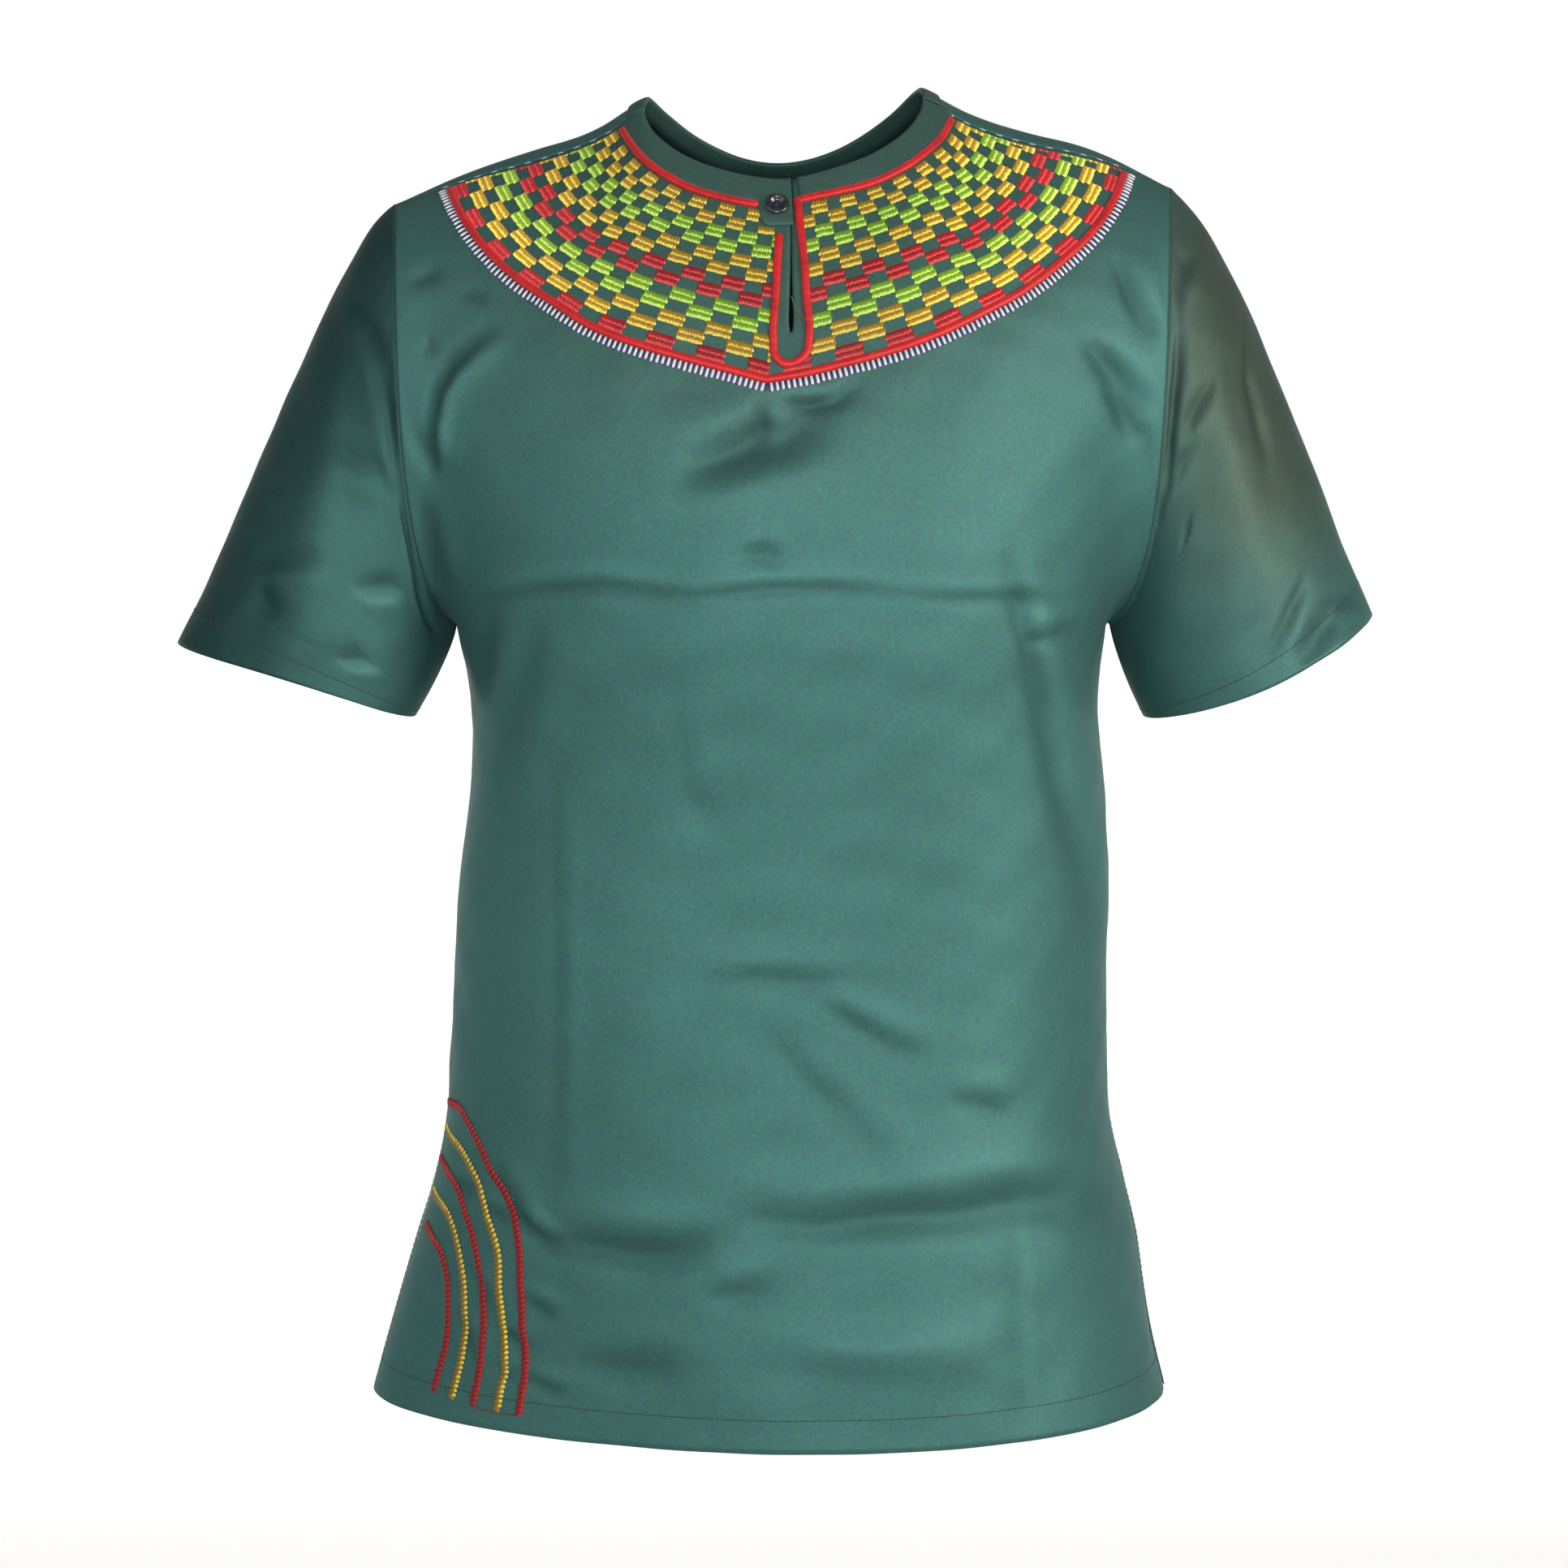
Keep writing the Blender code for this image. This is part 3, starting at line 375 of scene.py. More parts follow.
# Dashes beside the shoulder seams, by s, and the tacks beside the arcs, by s and height: the
# length of a stitch and the gap after it.
SHOULDER_DASHES, DASH = ((-0.86, -0.36), (0.36, 0.86)), (0.0040, 0.0055)
TACK_S, TACK_Z, TACK = (-0.905, -0.925), (-0.640, -0.572), (0.0022, 0.0014)
LOOSE_WIDTH = 0.00036       # of a loose thread
ALLOWANCE_HEIGHT = -0.0012  # where a seam allowance lies, from the cloth's outer face
# Lines of a seam allowance: the face each lies on, and its distance from the seam in s or v.
SIDE_ALLOWANCE = ((-1, 0.035), (-1, 0.012), (-1, 0.0), (1, 0.012), (1, 0.035))
SHOULDER_ALLOWANCE = ((-1, 0.040), (-1, 0.012), (-1, 0.002), (1, 0.012), (1, 0.040))
# A sleeve's head, tucked under the body: how far in from the armhole, and how deep.
HEAD_TUCK = ((0.0, 0.0), (0.003, 0.0010), (0.014, 0.0016), (0.030, 0.0018))

# The stage: the floor's height and reach, the strength of its own light and of the light from
# all round, and the lamps.
FLOOR_Z, FLOOR_REACH = -1.35, 9.0
FLOOR_LIGHT = 560.0
AMBIENT = 0.22
SUNS = (
    # name, azimuth from the front, elevation, strength, softness in degrees, colour
    ("key", 0.0, -3.0, 2.25, 26.0, (1.0, 1.0, 1.0)),
    ("side", 50.0, 5.0, 3.20, 30.0, (1.0, 0.90, 0.84)),
    ("fill", -42.0, 10.0, 0.80, 60.0, (1.0, 1.0, 1.0)),
)

# Ends of thread left loose on the front, and how far they are lifted off it.
LOOSE_THREADS = (
    # thread, lift, places (x, z)
    ("gold", 0.0014, ((0.0186, -0.0618), (0.0189, -0.0588), (0.0205, -0.0578),
                      (0.0218, -0.0596), (0.0215, -0.0625))),
    ("gold", 0.0014, ((0.0316, -0.0597), (0.0324, -0.0566), (0.0342, -0.0562),
                      (0.0345, -0.0588))),
    ("gold", 0.0010, ((0.0038, -0.1109), (0.0062, -0.1170), (0.0108, -0.1222),
                      (0.0156, -0.1254))),
    ("gold", 0.0018, ((0.0436, -0.1412), (0.0458, -0.1398), (0.0476, -0.1406),
                      (0.0492, -0.1396))),
    ("gold", 0.0018, ((0.1284, -0.1052), (0.1302, -0.1040), (0.1306, -0.1062))),
    ("red", 0.0001, ((-0.1690, -0.7194), (-0.1570, -0.7200), (-0.1450, -0.7197))),
    ("red", 0.0001, ((0.0738, -0.4878), (0.0744, -0.4872), (0.0750, -0.4873))),
)

# Rows and columns of the panels' grids, below and above the armpits, and of the sleeves'.
FRONT_COLUMNS, FRONT_ROWS_BELOW, FRONT_ROWS_ABOVE = 176, 140, 116
BACK_COLUMNS, BACK_ROWS_BELOW, BACK_ROWS_ABOVE = 130, 104, 96
SLEEVE_AROUND, SLEEVE_ALONG = 132, 92


# ---------------------------------------------------------------- small mathematics
def column(table, index):
    return np.array([row[index] for row in table], dtype=float)


def hermite(start, leave, end, arrive, t):
    a = 2 * t ** 3 - 3 * t ** 2 + 1
    b = t ** 3 - 2 * t ** 2 + t
    c = -2 * t ** 3 + 3 * t ** 2
    d = t ** 3 - t ** 2
    return start * a + leave * b + end * c + arrive * d


def smooth_at(table, index, key):
    """Values of one column of a table at keys in its first column, on a smooth curve."""
    keys = column(table, 0)
    values = column(table, index)
    slopes = np.gradient(values, keys)
    key = np.clip(key, keys[0], keys[-1])
    row = np.clip(np.searchsorted(keys, key) - 1, 0, len(keys) - 2)
    span = keys[row + 1] - keys[row]
    t = (key - keys[row]) / span
    return hermite(values[row], slopes[row] * span, values[row + 1], slopes[row + 1] * span, t)


def superellipse(angle, power):
    """Points of a unit superellipse, as (sine side, cosine side)."""
    sine, cosine = np.sin(angle), np.cos(angle)
    radius = (np.abs(sine) ** power + np.abs(cosine) ** power) ** (-1 / power)
    return radius * sine, radius * cosine


def soft_step(t):
    t = np.clip(t, 0.0, 1.0)
    return t * t * (3 - 2 * t)


def dot(a, b):
    return np.sum(a * b, axis=-1)


def unit(vectors):
    return vectors / np.linalg.norm(vectors, axis=-1, keepdims=True)


# ---------------------------------------------------------------- the body's surface
def body_section(face, s, z):
    right = smooth_at(BODY_SECTIONS, 1, z)
    left = smooth_at(BODY_SECTIONS, 2, z)
    depth = smooth_at(BODY_SECTIONS, 3 if face < 0 else 4, z)
    if face < 0:
        left = left - smooth_at(BODY_SECTIONS, 5, z)
    opening = 0.5 * VENT_OPEN * soft_step((VENT_TOP_Z - z) / (VENT_TOP_Z - HEM_Z))
    opening = opening + 0.5 * SEAM_GAP
    across, out = superellipse(s * math.pi / 2, smooth_at(BODY_SECTIONS, 6, z))
    if face < 0:
        out = out * (1 + smooth_at(BODY_SECTIONS, 7, z) * across)
    x = 0.5 * (left + right) + 0.5 * (left - right) * across
    y = face * (opening + (depth - opening) * out)
    return np.stack((x, y, z + 0 * s), axis=-1)


def neck_cut(face, s):
    """How much of a column's top the neck takes away, in v."""
    depth, power = NECK_CUTS[face]
    return depth * np.maximum(1 - (s / NECK_S) ** 2, 0) ** power


def body_base(face, s, v):
    """Smooth outer surface of the front (-1) or the back (+1), before its folds."""
    s, v = np.broadcast_arrays(np.asarray(s, float), np.asarray(v, float))
    tube = body_section(face, s, HEM_Z + TUBE * np.minimum(v, 1))
    start = body_section(face, s, ARMPIT_Z + 0 * s)
    end = np.stack([smooth_at(SHOULDER_SEAM, i, s) for i in (1, 2, 3)], axis=-1)
    rise = [smooth_at(RISES[face], i, np.abs(s)) for i in range(1, 7)]
    side = np.sign(s)
    leave = np.stack((side * rise[0], face * rise[1], rise[2]), axis=-1)
    arrive = np.stack((side * rise[3], face * rise[4], rise[5]), axis=-1)
    yoke = hermite(start, leave, end, arrive, np.maximum(v - 1, 0)[..., None])
    return np.where((v <= 1)[..., None], tube, yoke)


def tangents(face, s, v):
    """Directions across and up a panel, each per unit of its own parameter."""
    step = 1e-3
    low_s, high_s = np.maximum(s - step, -1), np.minimum(s + step, 1)
    low_v, high_v = np.maximum(v - step, 0), np.minimum(v + step, 2)
    low_v = np.where((v > 1) & (low_v < 1), 1, low_v)
    across = body_base(face, high_s, v) - body_base(face, low_s, v)
    up = body_base(face, s, high_v) - body_base(face, s, low_v)
    return across / (high_s - low_s)[..., None], up / (high_v - low_v)[..., None]


def surface_normal(face, s, v):
    across, up = tangents(face, s, v)
    return unit(np.cross(across, up) * -face)


def crease_height(folds, x, z):
    """Height of a list of creases at places, each crease a line through its own places."""
    total = np.zeros_like(x)
    for depth, width, ridge, places in folds:
        best = np.full_like(x, 1e9)
        beside = np.zeros_like(x)
        travelled = np.zeros_like(x)
        lengths = [math.dist(a, b) for a, b in zip(places, places[1:])]
        before = 0.0
        for (x0, z0), (x1, z1), length in zip(places, places[1:], lengths):
            along = ((x - x0) * (x1 - x0) + (z - z0) * (z1 - z0)) / length ** 2
            near = np.clip(along, 0, 1)
            away_x, away_z = x - x0 - near * (x1 - x0), z - z0 - near * (z1 - z0)
            away = np.hypot(away_x, away_z)
            closer = away < best
            across = ((x1 - x0) * away_z - (z1 - z0) * away_x) / length
            best = np.where(closer, away, best)
            beside = np.where(closer, across, beside)
            travelled = np.where(closer, before + near * length, travelled)
            before += length
        share = travelled / before
        fade = 0.2 + 0.8 * np.sin(math.pi * share) ** 0.7
        widened = width * (0.75 + 0.5 * share)
        shape = np.exp(-(best / widened) ** 2)
        past_end = (best ** 2 - beside ** 2) / width ** 2
        off_ridge = (beside / width - RIDGE_PLACE) / RIDGE_SPREAD
        shape = shape - ridge * np.exp(-off_ridge ** 2 - past_end)
        total = total + depth * fade * shape
    return total


def crease_shade(folds, x, z):
    """Painted shade of creases on the cloth's colour: below 0 it darkens the troughs, above 0 it
    is painted light on the ridges.
    """
    steep = [(depth / width, width, ridge, places) for depth, width, ridge, places in folds]
    return np.clip(crease_height(steep, x, z), *SHADE_LIMITS)


def panel_folds(face):
    """The creases of one panel, with their sizes and places in metres."""
    return [(depth / 1000, width / 1000, ridge, [(x / 1000, z / 1000) for x, z in places])
            for depth, width, ridge, *places in PANEL_FOLDS[face]]


def sleeve_folds(side):
    """The creases of one sleeve, with their places in metres round and along it."""
    return [(depth / 1000, width / 1000, ridge,
             [(a * SLEEVE_GIRTH, b * SLEEVE_LENGTH) for a, b in places])
            for depth, width, ridge, *places in SLEEVE_FOLDS[side]]


def ripple(x, y, z):
    """Soft unevenness of pressed cotton: a few crossing waves of unlike lengths."""
    dice = np.random.default_rng(11)
    total = 0.0
    for length in RIPPLE_LENGTHS:
        heading = unit(dice.normal(size=3))
        phase = dice.uniform(0, 2 * math.pi)
        wave = (x * heading[0] + y * heading[1] + z * heading[2]) * 2 * math.pi / length
        total = total + np.sin(wave + phase) * math.sqrt(length / 0.05)
    return total * RIPPLE_HEIGHT


def seam_fade(s):
    """Share of the folds that is left, none at the side seams."""
    return soft_step((1 - np.abs(s)) / FOLD_FADE)


def body_height(face, s, point):
    """Height of all folds over the smooth surface."""
    x, y, z = point[..., 0], point[..., 1], point[..., 2]
    return (crease_height(panel_folds(face), x, z) + ripple(x, y, z)) * seam_fade(s)


# Painted shade of a panel's creases, dying out beside the side seams.
def body_shade(face, s, point):
    return crease_shade(panel_folds(face), point[..., 0], point[..., 2]) * seam_fade(s)


def body_point(face, s, v, lift=0.0):
    s, v = np.asarray(s, float), np.asarray(v, float)
    point = body_base(face, s, v)
    height = body_height(face, s, point) + lift
    return point + surface_normal(face, s, v) * height[..., None]


def front_place(x, z):
    """Parameters (s, v) of the front's points that are seen at (x, z).

    They are found from a rough first guess by short steps along the surface's directions.
    """
    x, z = np.atleast_1d(np.asarray(x, float)), np.atleast_1d(np.asarray(z, float))
    s, v = np.clip(x / 0.2, -0.9, 0.9), np.where(z > ARMPIT_Z, 1.5, 0.5)
    for _ in range(25):
        here = body_base(-1, s, v)
        off_x, off_z = x - here[..., 0], z - here[..., 2]
        across, up = tangents(-1, s, v)
        size = across[..., 0] * up[..., 2] - up[..., 0] * across[..., 2]
        ds = (off_x * up[..., 2] - up[..., 0] * off_z) / size
        dv = (across[..., 0] * off_z - across[..., 2] * off_x) / size
        s = np.clip(s + np.clip(ds, -0.2, 0.2), -0.999, 0.999)
        v = np.clip(v + np.clip(dv, -0.3, 0.3), 0.0, PANEL_TOP)
    return s, v


def walk(face, s, v, direction, distance):
    """Places reached from (s, v) by going a distance over the panel in a direction."""
    steps = 5
    for _ in range(steps):
        across, up = tangents(face, s, v)
        a, b, c = dot(across, across), dot(across, up), dot(up, up)
        p, q = dot(across, direction) * distance / steps, dot(up, direction) * distance / steps
        size = a * c - b * b
        s = s + (c * p - b * q) / size
        v = np.minimum(v + (a * q - b * p) / size, PANEL_TOP)
    return s, v


# ---------------------------------------------------------------- the sleeves' surface
def armhole_point(side, turn):
    front = turn <= 0.5
    up = np.where(front, 1 - 2 * turn, 2 * turn - 1)
    fore = body_base(-1, side + 0 * turn, 1 + up)
    rear = body_base(1, side + 0 * turn, 1 + up)
    return np.where(front[..., None], fore, rear)


def cuff_point(side, turn):
    upper_x, upper_z, lower_x, lower_z, drop = SLEEVES[side][:5]
    across, out = superellipse(turn * 2 * math.pi, CUFF_POWER)
    x = 0.5 * (upper_x + lower_x) + 0.5 * (upper_x - lower_x) * out
    z = 0.5 * (upper_z + lower_z) + 0.5 * (upper_z - lower_z) * out
    return np.stack((x, -CUFF_DEPTH * across, z - drop * np.maximum(across, 0) ** 2), axis=-1)


def sleeve_base(side, turn, along):
    turn = np.mod(turn, 1.0)
    start = armhole_point(side, turn)
    start[..., 0] += side * SLEEVE_GAP
    end = cuff_point(side, turn)
    length = np.linalg.norm(end - start, axis=-1)
    top = 0.5 + 0.5 * np.cos(2 * math.pi * turn)
    out, up = (under + (upper - under) * top for under, upper in zip(LEAVE_UNDER, LEAVE_TOP))
    reach, flare = SLEEVES[side][5:]
    leave = np.stack((side * out, 0 * out, up), axis=-1)
    leave = leave * (length * (1 + (reach - 1) * top))[..., None]
    arrive = np.array((side * flare, 0.0, -math.sqrt(1 - flare ** 2))) * length[..., None]
    return hermite(start, leave, end, arrive, along[..., None])


def sleeve_normal(side, turn, along):
    step = 2e-3
    low, high = np.maximum(along - step, 0), np.minimum(along + step, 1)
    run = sleeve_base(side, turn, high) - sleeve_base(side, turn, low)
    around = sleeve_base(side, turn + step, along) - sleeve_base(side, turn - step, along)
    return unit(np.cross(around, run) * side)


def sleeve_height(side, turn, along, point):
    height = crease_height(sleeve_folds(side), turn * SLEEVE_GIRTH, along * SLEEVE_LENGTH)
    height = height + ripple(point[..., 0], point[..., 1], point[..., 2])
    ease = np.exp(-along * SLEEVE_LENGTH / 0.012) * soft_step(along / 0.02)
    height = height - EASE_DEPTH * ease * (1 + np.sin(turn * 2 * math.pi * EASE_PUCKERS))
    return height * soft_step(along / 0.04)


def sleeve_point(side, turn, along, lift=0.0):
    turn = np.mod(np.asarray(turn, float), 1.0)
    along = np.asarray(along, float)
    point = sleeve_base(side, turn, along)
    height = sleeve_height(side, turn, along, point) + lift
    return point + sleeve_normal(side, turn, along) * height[..., None]


# ---------------------------------------------------------------- mesh building
def index_grid(columns, rows, strip=0):
    """A grid whose points' x and y are whole numbers, cut after every strip of columns."""
    bm = bmesh.new()
    bmesh.ops.create_grid(bm, x_segments=columns, y_segments=rows, size=0.5)
    bmesh.ops.translate(bm, verts=bm.verts, vec=(0.5, 0.5, 0.0))
    bmesh.ops.scale(bm, verts=bm.verts, vec=(columns, rows, 1.0))
    if strip:
        bridges = [f for f in bm.faces
                   if int(f.calc_center_median().x) % (strip + 1) == strip]
        bmesh.ops.delete(bm, geom=bridges, context="FACES")
    return bm


def grid_indices(bm):
    places = np.array([vert.co for vert in bm.verts])
    return places[:, 0], places[:, 1]


def whole_indices(bm):
    return (np.round(places).astype(int) for places in grid_indices(bm))


def new_object(name, data):
    thing = bpy.data.objects.new(name, data)
    bpy.context.collection.objects.link(thing)
    return thing


def finish_mesh(name, bm, points, uvs, material, shade=None):
    """Moves a grid's points to their places, gives it a UV map in metres and a material."""
    mesh = bpy.data.meshes.new(name)
    bm.to_mesh(mesh)
    bm.free()
    mesh.vertices.foreach_set("co", np.asarray(points, np.float32).ravel())
    layer = mesh.uv_layers.new(name="thread_map")
    corners = np.empty(len(mesh.loops), np.int32)
    mesh.loops.foreach_get("vertex_index", corners)
    layer.uv.foreach_set("vector", np.asarray(uvs, np.float32)[corners].ravel())
    mesh.materials.append(material)
    if shade is not None:
        # fold_shade: the creases' painted shade and painted light, for the cloth's colour
        layer = mesh.attributes.new("fold_shade", "FLOAT", "POINT")
        layer.data.foreach_set("value", np.asarray(shade, np.float32))
    mesh.update()
    mesh.shade_smooth()
    return new_object(name, mesh)


def give_wall(piece, thickness):
    wall = piece.modifiers.new("wall", "SOLIDIFY")
    wall.thickness = thickness
    wall.offset = -1
    wall.use_even_offset = False


def wear(piece, slot, *nodes):
    """Fixes a finished piece to the shirt, in place of the solids it stands for."""
    if nodes:
        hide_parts(*nodes)
    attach(piece, "root")


def sewn_strands(name, starts, ends, normals, width, height, material, across=3, along=5):
    """Rows of satin stitches: each a low arched ridge from its start to its end."""
    count = len(starts)
    bm = index_grid(count * (across + 1) - 1, along, strip=across)
    i, j = whole_indices(bm)
    which = i // (across + 1)
    side = 2 * (i % (across + 1)) / across - 1
    t = j / along
    run = (ends - starts)[which]
    normal = normals[which]
    width = np.broadcast_to(width, count)[which]
    height = np.broadcast_to(height, count)[which]
    sideways = unit(np.cross(run, normal))
    arch = np.sqrt(np.clip(1 - np.abs(2 * t - 1) ** 4, 0, 1))
    crown = 1 - 0.9 * side ** 2
    points = starts[which] + run * t[:, None]
    points = points + sideways * (side * 0.5 * width * (0.80 + 0.20 * arch))[:, None]
    points = points + normal * (height * arch * crown)[:, None]
    uvs = np.stack((which + 0.5 * (side + 1), t), axis=-1)
    return finish_mesh(name, bm, points, uvs, material)


# ---------------------------------------------------------------- materials
def set_inputs(tree, node, inputs):
    """Gives each input a number or a colour, or links another node's output to it."""
    for key, value in inputs.items():
        if isinstance(value, bpy.types.NodeSocket):
            tree.links.new(value, node.inputs[key])
        else:
            node.inputs[key].default_value = value


def add_node(tree, kind, inputs, **settings):
    """Adds a shader node and returns its outputs."""
    node = tree.nodes.new(f"ShaderNode{kind}")
    for key, value in settings.items():
        setattr(node, key, value)
    set_inputs(tree, node, inputs)
    return node.outputs


def calculate(tree, operation, *values, **settings):
    return add_node(tree, "Math", dict(enumerate(values)), operation=operation,
                    **settings)["Value"]


def noise(tree, vector, scale, detail, roughness=0.5):
    return add_node(tree, "TexNoise", {"Vector": vector, "Scale": scale, "Detail": detail,
                                       "Roughness": roughness})


def stretched(tree, vector, scale):
    return add_node(tree, "Mapping", {"Vector": vector, "Scale": (*scale, 1.0)})["Vector"]


def mix(tree, factor, first, second, blend="MIX"):
    return add_node(tree, "Mix", {"Factor": factor, 6: first, 7: second}, data_type="RGBA",
                    blend_type=blend)[2]


def new_material(name):
    material = bpy.data.materials.new(name)
    material.use_nodes = True
    tree = material.node_tree
    return material, tree, tree.nodes["Principled BSDF"]


def object_map(tree):
    return add_node(tree, "TexCoord", {})["Object"]


def thread_map(tree):
    return add_node(tree, "UVMap", {}, uv_map="thread_map")["UV"]


def colour_ramp(tree, factor, stops):
    ramp = tree.nodes.new("ShaderNodeValToRGB")
    while len(ramp.color_ramp.elements) < len(stops):
        ramp.color_ramp.elements.new(0.5)
    for element, (position, colour) in zip(ramp.color_ramp.elements, stops):
        element.position = position
        element.color = (*colour, 1)
    tree.links.new(factor, ramp.inputs["Fac"])
    return ramp.outputs["Color"]


def scaled(colour, share):
    return tuple(min(c * share, 1.0) for c in colour)


def bump(tree, shader, height, strength, distance, below=None):
    inputs = {"Height": height, "Strength": strength, "Distance": distance}
    if below is not None:
        inputs["Normal"] = below
    normal = add_node(tree, "Bump", inputs)["Normal"]
    set_inputs(tree, shader, {"Normal": normal})
    return normal


def cotton_material(name, colour, painted_tone=None, painted_spot=None):
    """Fine cotton with a soft satin face: crossing threads, slubs and faint fading.

    A second colour is mixed in round a spot as painted light and shade: painted shade over the
    front's yoke, painted light round a spot on the right sleeve, a warm painted sheen on the left
    sleeve. The creases' fold_shade adds painted shade in troughs and painted light on ridges.
    """
    material, tree, shader = new_material(name)
    place, threads = object_map(tree), thread_map(tree)
    fade = noise(tree, place, 7.0, 4.0, 0.55)["Fac"]
    shade = colour_ramp(tree, fade, (
        (0.25, scaled(colour, 0.90)), (0.55, colour), (0.80, scaled(colour, 1.10))))
    # Painted light and shade: a second colour mixed in round a spot
    if painted_tone:
        shade = paint_light_spot(tree, place, fade, shade, painted_tone, painted_spot)
    weave = add_node(tree, "TexBrick", {
        "Vector": stretched(tree, threads, (2600.0, 2600.0)), "Scale": 1.0,
        "Mortar Size": 0.08, "Brick Width": 1.0, "Row Height": 0.5}, offset=0.5)
    slub = noise(tree, stretched(tree, threads, (620.0, 470.0)), 1.0, 3.0)
    streak = mix(tree, 0.36, shade, slub["Color"], "OVERLAY")
    # Painted shade: the creases' fold_shade darkens the colour in troughs and lightens it on
    # ridges
    folds = add_node(tree, "Attribute", {}, attribute_name="fold_shade")["Fac"]
    crease_shade_factor = calculate(tree, "MULTIPLY_ADD", folds, FOLD_SHADE, 1.0)
    crease_shaded = add_node(tree, "VectorMath", {0: streak, "Scale": crease_shade_factor}, operation="SCALE")
    gloss = add_node(tree, "MapRange", {"Value": fade, "To Min": 0.42, "To Max": 0.54})
    set_inputs(tree, shader, {
        "Base Color": crease_shaded["Vector"], "Roughness": gloss["Result"], "Metallic": 0.40,
        "Specular IOR Level": 0.12, "Specular Tint": (0.25, 0.45, 0.42, 1),
        "Sheen Weight": 0.03, "Sheen Roughness": 0.45, "Sheen Tint": (0.62, 0.72, 0.70, 1)})
    under = bump(tree, shader, slub["Fac"], 0.25, 0.0002)
    bump(tree, shader, weave["Fac"], 0.15, 0.0001, under)
    return material


def paint_light_spot(tree, place, fade, shade, painted_tone, spot):
    """Mixes a second colour, painted light and shade, into a shade round a spot of the object,
    fading softly outwards.
    """
    middle, size = spot
    away = add_node(tree, "Mapping", {"Vector": place, "Location": middle, "Scale": size},
                    vector_type="TEXTURE")
    ball = add_node(tree, "TexGradient", {"Vector": away["Vector"]}, gradient_type="SPHERICAL")
    uneven = add_node(tree, "MapRange", {"Value": fade, "To Min": 0.9, "To Max": 2.6})
    strength = calculate(tree, "MULTIPLY", ball["Fac"], uneven["Result"], use_clamp=True)
    return mix(tree, strength, shade, (*painted_tone, 1))


def thread_material(name, dark, light, gloss=0.38, outer=(1.0, 1.0, 1.0)):
    """Embroidery thread lying along its stitches, with a painted highlight towards each stitch's
    end.

    Towards the shoulders its colour is multiplied by outer, a painted sheen.
    """
    material, tree, shader = new_material(name)
    place = object_map(tree)
    stitch = add_node(tree, "SeparateXYZ", {"Vector": thread_map(tree)})
    uneven = noise(tree, place, 420.0, 2.0)["Fac"]
    shift = calculate(tree, "MULTIPLY_ADD", uneven, 0.5, -0.25)
    # Painted highlight: the colour turns from the dye to the lighter dye along each stitch
    shade = colour_ramp(tree, calculate(tree, "ADD", stitch["Y"], shift), (
        (0.0, scaled(dark, 0.8)), (0.56, dark), (0.78, light), (1.0, light)))
    # Painted sheen: towards the shoulders the colour is multiplied by outer
    across = add_node(tree, "SeparateXYZ", {"Vector": place})["X"]
    sheen_share = add_node(tree, "MapRange", {"Value": calculate(tree, "ABSOLUTE", across),
                                        "From Min": 0.05, "From Max": 0.14})
    painted_sheen_colour = mix(tree, sheen_share["Result"], shade, (*outer, 1), "MULTIPLY")
    plies = 4
    strand = calculate(tree, "MULTIPLY", stitch["X"], plies * 2 * math.pi)
    bump(tree, shader, calculate(tree, "SINE", strand), 0.5, 0.00012)
    set_inputs(tree, shader, {"Base Color": painted_sheen_colour, "Roughness": gloss,
                              "Specular IOR Level": 0.35, "Sheen Weight": 0.08})
    return material


def cord_material(name, colour):
    """Satin stitch wound closely round a cord."""
    material, tree, shader = new_material(name)
    fibre = noise(tree, stretched(tree, thread_map(tree), (2200.0, 140.0)), 1.0, 2.0)["Fac"]
    cloudy = noise(tree, object_map(tree), 90.0, 3.0)["Fac"]
    halved = calculate(tree, "MULTIPLY", calculate(tree, "ADD", fibre, cloudy), 0.5)
    shade = colour_ramp(tree, halved, (
        (0.30, scaled(colour, 0.62)), (0.50, colour), (0.68, scaled(colour, 1.25))))
    bump(tree, shader, fibre, 0.6, 0.00025)
    set_inputs(tree, shader, {"Base Color": shade, "Roughness": 0.42,
                              "Specular IOR Level": 0.35, "Sheen Weight": 0.08,
                              "Sheen Tint": (1.0, 0.6, 0.55, 1)})
    return material


def plastic_material(name, colour):
    material, tree, shader = new_material(name)
    cloudy = noise(tree, object_map(tree), 900.0, 2.0)["Fac"]
    shade = colour_ramp(tree, cloudy, ((0.3, colour), (0.7, scaled(colour, 2.4))))
    bump(tree, shader, cloudy, 0.08, 0.0002)
    set_inputs(tree, shader, {"Base Color": shade, "Roughness": 0.22, "Coat Weight": 0.4})
    return material


THREADS = {
    # name: dark dye and its share, painted highlight's dye and its share, gloss, painted sheen as
    # a factor towards the shoulders
    "gold_thread": (("gold", 1.0), ("gold_highlight", 1.0), 0.38, (1.9, 1.85, 1.7)),
    "green_thread": (("green", 1.0), ("green_highlight", 1.0), 0.38, (1.8, 1.5, 1.6)),
    "red_thread": (("red", 1.0), ("red_highlight", 1.0), 0.38, (1.7, 1.4, 1.4)),
    "gold_arc_thread": (("gold", 0.9), ("gold_highlight", 1.1)),
    "gold_padding_thread": (("gold", 0.9), ("gold", 1.2)),
    "red_arc_thread": (("red", 1.0), ("cord", 1.0)),
    "red_padding_thread": (("red", 0.55), ("red", 0.9)),
    "white_thread": (("white", 1.0), ("white", 1.1)),
    "navy_thread": (("navy", 1.0), ("navy", 1.6)),
    "seam_thread": (("cloth", 0.28), ("cloth", 0.45), 0.6),
}
